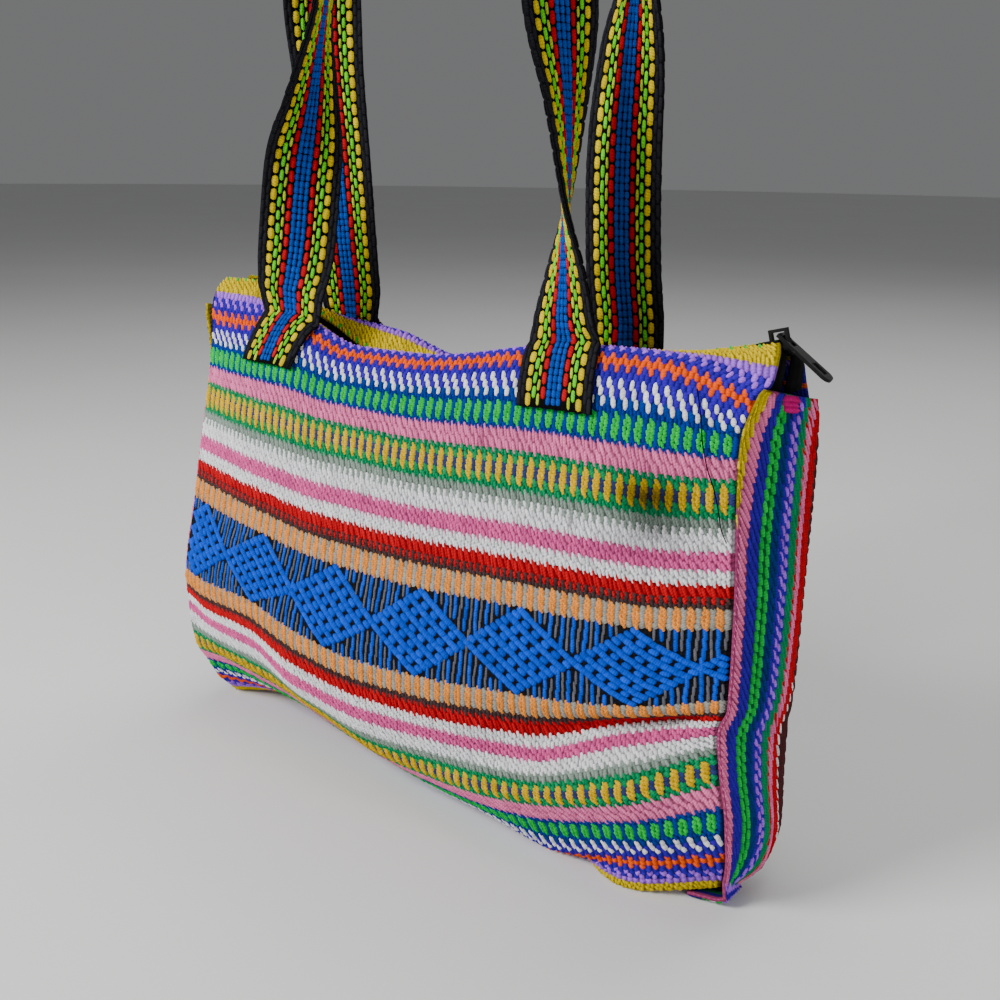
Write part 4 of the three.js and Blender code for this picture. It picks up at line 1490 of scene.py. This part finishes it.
@dataclass
class Strap:
    """A woven strap, sewn flat on a panel at both ends and free in between.

    Attributes:
        name: name of the piece.
        node: the solid that it stands for.
        face: the panel that it is sewn on.
        left: x of the middle of its left end, at its foot and where it leaves the panel.
        right: the same for its right end.
        rows: places of the free loop: x, y, z and how far its face has turned inwards, in degrees.
        width: width of the strap.
        thick: thickness of the solid.
        sewn: cloth lengths of the lower end and of the point where the strap leaves the panel.
        gap: gap between the strap and the panel.
        sunk: how far the ground's faces are below the solid's.
        margin: width along each edge over which the strap thins.
        first: how far from the strap's end the dashes start.
        last: how far from its other end they stop.
        columns: grid columns from edge to edge.
        foot_rows: grid rows of each sewn end.
        loop_rows: grid rows of the free loop.
    """

    name: str
    node: str
    face: tuple[Level, ...]
    left: tuple[float, float]
    right: tuple[float, float]
    rows: tuple[tuple[float, float, float, float], ...]
    width: float = 38.5
    thick: float = 2.6
    sewn: tuple[float, float] = (58.0, 27.0)
    gap: float = 0.7
    sunk: float = 0.45
    margin: float = 2.4
    first: float = 3.2
    last: float = 2.0
    columns: int = 19
    foot_rows: int = 12
    loop_rows: int = 210

    def __post_init__(self) -> None:
        """Works out the middle sheet of the strap from end to end."""
        self.across = np.linspace(-self.width / 2, self.width / 2, self.columns)
        left, left_out = self._sewn(self.left, 1)
        free, free_out = self._free()
        right, right_out = self._sewn(self.right, -1)
        points = np.concatenate([left, free, right[::-1]])
        out = np.concatenate([left_out, free_out, right_out[::-1]])
        points[..., 0] = self._eased(points[..., 0])
        middle = points[:, len(self.across) // 2]
        along = np.concatenate([[0], np.cumsum(np.linalg.norm(np.diff(middle, axis=0), axis=1))])
        self.sheet = Weave(points, out, self.across, along)

    @staticmethod
    def _eased(x: np.ndarray, reach: int = 8, near: int = 60, fade: int = 20) -> np.ndarray:
        """Rounds off the bends in the strap's plane where it leaves the panel.

        Args:
            x: sideways places, row by row along the strap.
            reach: rows on either side that each row is averaged with.
            near: rows from either end that are rounded.
            fade: rows over which the rounding dies out.

        Returns:
            The places with both ends kept.
        """
        weight = np.hanning(2 * reach + 3)[1:-1]
        padded = np.concatenate([2 * x[:1] - x[reach:0:-1], x, 2 * x[-1:] - x[-2:-reach - 2:-1]])
        soft = sum(w * padded[k:k + len(x)] for k, w in enumerate(weight / weight.sum()))
        row = np.arange(len(x))
        share = np.clip((near - np.minimum(row, row[::-1])) / fade, 0, 1)[:, None]
        return x + (soft - x) * share

    def _sewn(self, middle: tuple[float, float], turn: int) -> tuple[np.ndarray, np.ndarray]:
        """Middle sheet of a sewn end, from its lower end up.

        Args:
            middle: x of its middle at its foot and where it leaves the panel.
            turn: 1 where the strap runs up, -1 where it runs down.

        Returns:
            Points of the sheet, and the directions out of it.
        """
        lengths = np.linspace(*self.sewn, self.foot_rows)
        sections = np.linspace(-1, 1, 241)
        levels = np.linspace(0, FACE_LENGTH, 240)
        grid = cloth(self.face, sections, levels)
        panel = Weave(grid, facing(grid, 1 if self.face is FRONT else -1), sections, levels)
        ends = cloth(self.face, np.array([-1.0, 1.0]), lengths)[..., 0]
        x = np.linspace(*middle, len(lengths))[:, None] + turn * self.across
        s = 2 * (x - ends[:, :1]) / (ends[:, 1:] - ends[:, :1]) - 1
        c = np.broadcast_to(lengths[:, None], s.shape)
        points = panel.lay(s, c, np.full(s.shape, self.gap + self.thick / 2))
        normal = unit(panel.lay(s, c, np.ones(s.shape)) - panel.lay(s, c, np.zeros(s.shape)))
        return points, normal if self.face is FRONT else -normal

    def _free(self) -> tuple[np.ndarray, np.ndarray]:
        """Middle sheet of the free loop, from left to right.

        Returns:
            Points of the sheet, and the directions out of it.
        """
        table = np.array(self.rows, float)
        t = np.linspace(0, len(table) - 1, self.loop_rows)
        centre = self._path(table[:, :3], t)
        tangent = unit(np.gradient(centre, axis=0))
        turn = np.radians(through(np.arange(len(table)), table[:, 3], t))
        inwards = unit(np.stack([tangent[:, 2], np.zeros(len(t)), -tangent[:, 0]], axis=-1))
        face = inwards * np.sin(turn)[:, None]
        face[:, 1] -= np.cos(turn)
        face = unit(face - tangent * np.sum(face * tangent, axis=1, keepdims=True))
        wide = np.cross(tangent, face)
        points = centre[:, None] + wide[:, None] * self.across[None, :, None]
        return points, np.repeat(face[:, None], len(self.across), axis=1)

    @staticmethod
    def _path(knots: np.ndarray, t: np.ndarray) -> np.ndarray:
        """Even-turning curve through the places of the loop.

        Args:
            knots: the places, in order.
            t: how far along each point is, counted in places.

        Returns:
            One point for each value of t.
        """
        ends = np.concatenate([[2 * knots[0] - knots[1]], knots, [2 * knots[-1] - knots[-2]]])
        i = np.clip(np.floor(t).astype(int), 0, len(knots) - 2)
        f = (t - i)[:, None]
        a, b, c, d = (ends[i + k] for k in range(4))
        ab, bc, cd = (np.linalg.norm(q - p, axis=1)[:, None] ** 0.5 for p, q in ((a, b), (b, c), (c, d)))
        before = ((b - a) / ab - (c - a) / (ab + bc) + (c - b) / bc) * bc
        after = ((c - b) / bc - (d - b) / (bc + cd) + (d - c) / cd) * bc
        return (b + before * f + (-3 * b + 3 * c - 2 * before - after) * f**2
                + (2 * b - 2 * c + before + after) * f**3)

    def build(self) -> list[bpy.types.Object]:
        """Builds the strap's ground and the yarns of both its faces.

        Returns:
            The ground, the yarns of the outer face and the yarns of the inner face.
        """
        u, v = np.meshgrid(self.sheet.across, self.sheet.along)
        thinned = 0.55
        edge = 1 - thinned * np.clip((np.abs(u) - self.width / 2 + self.margin) / self.margin, 0, 1) ** 2
        half = (self.thick / 2 - self.sunk) * edge[..., None]
        ground = shell(self.name, self.sheet.points + self.sheet.out * half,
                       self.sheet.points - self.sheet.out * half, np.stack([u, v], axis=-1))
        yarns = []
        length = self.sheet.along[-1]
        repeat = STRAP_LANES[-1].pitch
        stretch = length / repeat / round(length / repeat)
        for side, seed in ((1, 31), (-1, 32)):
            weave = Weave(self.sheet.points, self.sheet.out * side, self.sheet.across, self.sheet.along)
            strands = Strands(f"{self.name}_yarns_{'outer' if side > 0 else 'inner'}", seed)
            for number, lane in enumerate(STRAP_LANES):
                phase = 0.5 * lane.pitch * (number % 2)
                for place, first in lane.lines():
                    start = self.first + first + phase
                    along = np.arange(start, length - self.last, lane.pitch * stretch)
                    for at in ({place, -place} if lane.start > 0 else {place}):
                        strands.add(at, along, (*lane.size, lane.rise), lane.slant, lane.dye, loose=0.045)
            yarns.append(strands.build(weave, self.thick / 2 - self.sunk - SUNK))
        return [ground, *yarns]

    def dress(self, pieces: list[bpy.types.Object], yarn: bpy.types.Material) -> None:
        """Args:
            pieces: the ground and its yarns, as built.
            yarn: finish of the yarns.
        """
        ground, *yarns = pieces
        stripes = tuple((max(lane.start, 0.0), lane.under or lane.dye) for lane in STRAP_LANES)
        # The strap's ground is drawn at 0.3 of its dyes' lightness: painted shade between the raised
        # yarns.
        finish = GroundFinish(f"{self.name}_ground", Ruler.OUTWARD, stripes, self.width / 2, 0.3)
        dress(ground, finish.make())
        for piece in yarns:
            dress(piece, yarn)
        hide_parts(self.node)


FRONT_LOOP = (
    (-97.5, -20, 243, 14), (-95.5, -17.5, 262, 36), (-90, -16, 302, 54), (-84, -15, 332, 92),
    (-74.5, -14, 379, 124), (-68, -9, 416, 104), (-46, -4, 454, 90), (-7, -3, 472, 90),
    (32, -4, 454, 90), (54, -9, 416, 98), (60.5, -14, 374, 108), (65.5, -15, 330, 80),
    (67.5, -16, 290, 56), (69, -17.5, 260, 28), (70, -20, 241, 12),
)
BACK_LOOP = (
    (-95, 20, 238, 8), (-96, 18, 262, 12), (-99, 16, 310, 16), (-102, 14, 352, 24),
    (-101, 11, 390, 52), (-88, 6, 432, 86), (-56, 3, 463, 90), (-8, 2, 475.4, 90),
    (40, 3, 463, 90), (71, 6, 432, 86), (80, 12, 390, 48), (77, 15, 352, 14),
    (74, 17, 310, 2), (75, 19, 262, 0), (77, 21, 238, 0),
)


# Rows of a tape's turned-down ends: reach past the left and right lip, drop, places across, and how
# much wider they are at the right end. The right ends are drawn wider than the tape, so that their
# black also covers the shaded inside of the bag there: real tape with a painted shadow beside it.
TAPE_ENDS = (
    (0.9, 2.2, 2.5, (4.2, 6.4, 8.6), 1.15),
    (1.4, 2.0, 9.0, (5.0, 8.0, 11.0), 1.4),
    (1.5, 0.2, 20.0, (5.5, 9.5, 13.5), 1.4),
)


@dataclass
class Zip:
    """The soft parts of the closed zip: two tapes under the lips, and the coil.

    Attributes:
        cloth_thick: thickness of the body cloth.
        gap: gap between the cloth and the tape.
        thick: thickness of the tape.
        inner: how far the tapes' inner edges are from the middle.
        tooth: spacing of the coil's teeth.
        span: x of the coil's two ends.
        row: least distance between the lines of a tape's sheet.
        sheet: share of its thickness that the tape is drawn with.
    """

    cloth_thick: float = 2.4
    gap: float = 0.4
    thick: float = 0.8
    inner: float = 2.5
    tooth: float = 1.5
    span: tuple[float, float] = (-156.0, 160.0)
    row: float = 0.7
    sheet: float = 0.8

    def _under(self, face: tuple[Level, ...], sections: np.ndarray) -> np.ndarray:
        """Places under a lip where the tape lies.

        Args:
            face: the panel whose lip it is.
            sections: places across the bag, from -1 to 1.

        Returns:
            Points for three cloth lengths, 0, 4.5 and 9 mm, and each section.
        """
        grid = cloth(face, sections, np.linspace(0, 12, 25))
        out = facing(grid, 1 if face is FRONT else -1)
        out[..., 0] = 0
        lying = grid - unit(out) * (self.cloth_thick + self.gap)
        return lying[[0, 9, 18]]

    def _height(self, sections: np.ndarray) -> np.ndarray:
        """Height of the zip's middle at each section."""
        return np.minimum(*(self._under(face, sections)[0, :, 2] for face in (FRONT, BACK))) - self.gap

    def tape(self, name: str, face: tuple[Level, ...], side: int) -> bpy.types.Object:
        """One tape, under its lip and turned down over both ends of the bag.

        Args:
            name: name of the piece.
            face: the panel whose lip it is under.
            side: -1 in front of the zip's middle, 1 behind it.

        Returns:
            The new piece.
        """
        sections = np.linspace(-1, 1, 89)
        lie = self._under(face, sections)
        least = self.inner + self.row * np.arange(1, 4)[:, None]
        lie[..., 1] = side * np.maximum(np.abs(lie[..., 1]), least)
        inner = np.full(len(sections), side * self.inner)
        first = np.stack([lie[0, :, 0], inner, self._height(sections)], axis=-1)
        rows = np.concatenate([first[:, None], lie.transpose(1, 0, 2)], axis=1)
        ends = cloth(face, np.array([-1.0, 1.0]), np.array([0.0]))[0, :, 0]
        heights = self._height(np.array([-1.0, 0.0, 1.0]))[[0, 2]]
        at_left, at_right = [], []
        for left, right, drop, places, shadow_spread in TAPE_ENDS:
            at_left.append(self._flap(ends[0] - left, heights[0] - drop, side, places, 1.0))
            # At the right end the flap is widened, and its extra black is a painted shadow of the bag's
            # inside.
            at_right.append(self._flap(ends[1] + right, heights[1] - drop, side, places, shadow_spread))
        top = np.concatenate([at_left[::-1], rows, at_right])
        out = facing(top, 1.0)
        out *= np.sign(out[len(top) // 2, 0, 2])
        u = np.broadcast_to(np.arange(4) * 3.0, top.shape[:2])
        v = np.broadcast_to(top[:, :1, 0], top.shape[:2])
        return shell(name, top, top - out * self.thick * self.sheet, np.stack([u, v], axis=-1))

    def _flap(self, x: float, z: float, side: int, places: tuple[float, ...],
              shadow_spread: float) -> np.ndarray:
        """One row of a tape's turned-down end.

        Args:
            x: its place along the bag.
            z: its height.
            side: -1 in front of the zip's middle, 1 behind it.
            places: distances from the middle, after the inner edge.
            shadow_spread: how much wider it is drawn; past the tape's own width it is a painted shadow.

        Returns:
            The points of the row.
        """
        y = side * np.array([self.inner, *(place * shadow_spread for place in places)])
        return np.stack([np.full(len(y), x), y, np.full(len(y), z)], axis=-1)

    def coil(self) -> bpy.types.Object:
        """The closed teeth, as two rows of small slanting loops that meet in the middle.

        Returns:
            The new piece.
        """
        x = np.linspace(*self.span, 160)
        ends = cloth(FRONT, np.array([-1.0, 1.0]), np.array([0.0]))[0, :, 0]
        middle = self._height(2 * (x - ends[0]) / (ends[1] - ends[0]) - 1) - self.thick / 2
        across = np.linspace(-2, 2, 5)
        grid = np.broadcast_arrays(x[:, None], across[None], middle[:, None])
        points = np.stack(grid, axis=-1).astype(float)
        up = np.zeros_like(points)
        up[..., 2] = 1
        strands = Strands("zip_teeth", 41)
        teeth = np.arange(self.span[0] + 1, self.span[1] - 1, self.tooth)
        size = (1.35, 2.2, 1.0)
        for side in (-1, 1):
            along = teeth + side * self.tooth / 4
            strands.add(side * 0.85, along, size, 18 * side, Dye.BLACK, loose=0.02)
        return strands.build(Weave(points, up, across, x), 0.0)

    def dress(self, tapes: list[bpy.types.Object], teeth: bpy.types.Object) -> None:
        """Args:
            tapes: the front tape and the back tape.
            teeth: the coil.
        """
        fibres = FibreFinish("black_tape_fibres", Dye.BLACK).make()
        for piece, node in zip(tapes, ("zip_tape_front", "zip_tape_back")):
            dress(piece, fibres)
            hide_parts(node)
        dress(teeth, YarnFinish("zip_teeth_nylon", 9.0, 0.5).make())
        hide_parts("zip_coil")


@dataclass
class LooseThread:
    """The loose black thread that hangs down the front near its right end.

    Attributes:
        path: places on the front cloth: across it, and along from the zip edge.
        thick: thickness of the thread.
        lift: height of its line over the cloth.
        count: points of its curve.
    """

    path: tuple[tuple[float, float], ...] = (
        (142.8, 40.1), (146.5, 47.0), (149.4, 54.5), (151.6, 64.0), (154.4, 73.7),
        (157.2, 81.0), (159.4, 89.8), (160.6, 97.0), (163.0, 103.0),
    )
    thick: float = 0.5
    lift: float = 1.3
    count: int = 41

    def build(self, weave: Weave) -> bpy.types.Object:
        """Lays the thread on the body cloth, as a round curve.

        Args:
            weave: the body cloth.

        Returns:
            The new piece.
        """
        t = np.linspace(0, len(self.path) - 1, self.count)
        places = through(np.arange(len(self.path)), np.array(self.path), t)
        points = (weave.lay(places[:, 0], places[:, 1], np.full(len(t), self.lift)) + HUNG) * MM
        curve = bpy.data.curves.new("loose_thread", "CURVE")
        curve.dimensions = "3D"
        curve.bevel_depth = self.thick / 2 * MM
        curve.bevel_resolution = 2
        curve.use_fill_caps = True
        line = curve.splines.new("POLY")
        line.points.add(len(points) - 1)
        weighted = np.concatenate([points, np.ones((len(points), 1))], axis=1)
        line.points.foreach_set("co", weighted.ravel())
        thread = bpy.data.objects.new("loose_thread", curve)
        bpy.context.collection.objects.link(thread)
        self.start = points[0]
        self.length = float(np.linalg.norm(np.diff(points, axis=0), axis=1).sum())
        return thread

    def dress(self, thread: bpy.types.Object) -> None:
        dress(thread, FibreFinish("black_thread_fibres", Dye.BLACK).make())


@dataclass
class Studio:
    """Floor, soft light and the camera.

    Attributes:
        floor: height of the floor under the bag.
        floor_radius: how far the floor reaches, in metres.
        sensor: width of the camera's sensor.
        lens: focal length on that sensor.
        turn: camera's place round the bag, in degrees.
        tilt: how far it looks down, in degrees.
        roll: camera's roll, in degrees.
        eye: camera's place in the table frame, in millimetres.
        lights: name, place, size and power of each light.
        aim: the middle of the bag, which the lights face.
    """

    floor: float = -0.2
    floor_radius: float = 9.0
    sensor: float = 36.0
    lens: float = 43.2
    turn: float = 37.5
    tilt: float = 16.5
    roll: float = 0.8
    eye: tuple[float, float, float] = (361.0, -441.0, 315.0)
    lights: tuple[tuple[str, tuple[float, float, float], float, float], ...] = (
        ("key_light", (-0.55, -1.1, 0.5), 0.55, 27.0),
        ("fill_light", (1.2, -0.6, 0.15), 0.9, 6.5),
        ("top_light", (-0.1, 0.3, 0.9), 0.9, 7.0),
        ("back_light", (0.2, 1.4, 1.2), 1.2, 10.0),
    )
    aim: tuple[float, float, float] = (0.0, 0.0, -0.32)

    def build(self) -> None:
        """Adds all of it."""
        self._floor()
        for light in self.lights:
            self._light(*light)
        world = bpy.data.worlds.new("studio")
        world.use_nodes = True
        sky = world.node_tree.nodes["Background"]
        sky.inputs["Color"].default_value = (0.86, 0.87, 0.88, 1)
        sky.inputs["Strength"].default_value = 0.2
        bpy.context.scene.world = world
        self._camera()

    def _floor(self) -> None:
        """A wide plain floor."""
        bpy.ops.object.select_all(action="DESELECT")
        height = (self.floor + HUNG[2]) * MM
        bpy.ops.mesh.primitive_circle_add(vertices=96, radius=self.floor_radius, fill_type="NGON",
                                          location=(0, 0, height))
        floor = bpy.context.object
        bpy.ops.object.transform_apply(location=True, rotation=True, scale=True)
        floor.name = "floor"
        floor.data.materials.append(FloorFinish("pale_floor").make())

    def _light(self, name: str, place: tuple[float, float, float], size: float, power: float) -> None:
        """A square soft light that faces the middle of the bag.

        Args:
            name: name of the light.
            place: its place in the frame of the part, in metres.
            size: its side.
            power: its power in watts.
        """
        lamp = bpy.data.lights.new(name, "AREA")
        lamp.energy = power
        lamp.size = size
        holder = bpy.data.objects.new(name, lamp)
        holder.location = place
        towards = Vector(self.aim) - Vector(place)
        holder.rotation_euler = towards.to_track_quat("-Z", "Y").to_euler()
        bpy.context.collection.objects.link(holder)

    def _camera(self) -> None:
        """The camera at the photograph's viewing angle."""
        turn, tilt, roll = (math.radians(a) for a in (self.turn, self.tilt, self.roll))
        level = math.cos(tilt)
        back = Vector((math.sin(turn) * level, -math.cos(turn) * level, math.sin(tilt)))
        side = Vector((math.cos(turn), math.sin(turn), 0))
        above = back.cross(side)
        right = side * math.cos(roll) + above * math.sin(roll)
        up = above * math.cos(roll) - side * math.sin(roll)
        lens = bpy.data.cameras.new("photo_camera")
        lens.lens = self.lens
        lens.sensor_width = self.sensor
        camera = bpy.data.objects.new("photo_camera", lens)
        spot = Vector((np.array(self.eye) + HUNG) * MM)
        turned = Matrix((right, up, back)).transposed().to_4x4()
        camera.matrix_world = Matrix.Translation(spot) @ turned
        bpy.context.collection.objects.link(camera)
        bpy.context.scene.camera = camera


def main() -> None:
    """Builds the bag's pieces in order, then the studio, and notes the sizes."""
    logging.basicConfig(level=logging.INFO, format="%(message)s")
    yarn = YarnFinish("twisted_cotton").make()
    for strap in (
        Strap("woven_strap_front", "strap_front", FRONT, (-104, -98), (78, 71), FRONT_LOOP),
        Strap("woven_strap_back", "strap_back", BACK, (-95, -95), (77, 77), BACK_LOOP),
    ):
        strap.dress(strap.build(), yarn)
    body = BodyCloth()
    body.dress(body.build(), yarn)
    tongue = ((167.2, 5.2, -26.5, -12, 35), (164, 3.8, -26.5, -10, 90), (151, 3.4, -29, -14, 90))
    for gusset in (
        Gusset("woven_gusset_left", "gusset_left", sign=-1, back=34, ear=5, lap=-2.2),
        Gusset("woven_gusset_right", "gusset_right", sign=1, back=46, ear=0, lap=1.6, tongue=tongue),
    ):
        gusset.dress(gusset.build(), yarn)
    closing = Zip()
    tapes = [closing.tape("black_tape_front", FRONT, -1), closing.tape("black_tape_back", BACK, 1)]
    closing.dress(tapes, closing.coil())
    metal = MetalFinish("black_zip_metal").make()
    for node in ("zip_slider", "zip_pull"):
        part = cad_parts[node]
        part.data.materials.clear()
        part.data.materials.append(metal)
        log.info("%s: keeps its solid", part.name)
    thread = LooseThread()
    thread.dress(thread.build(body.weave))
    Studio().build()


if __name__ == "__main__":
    main()
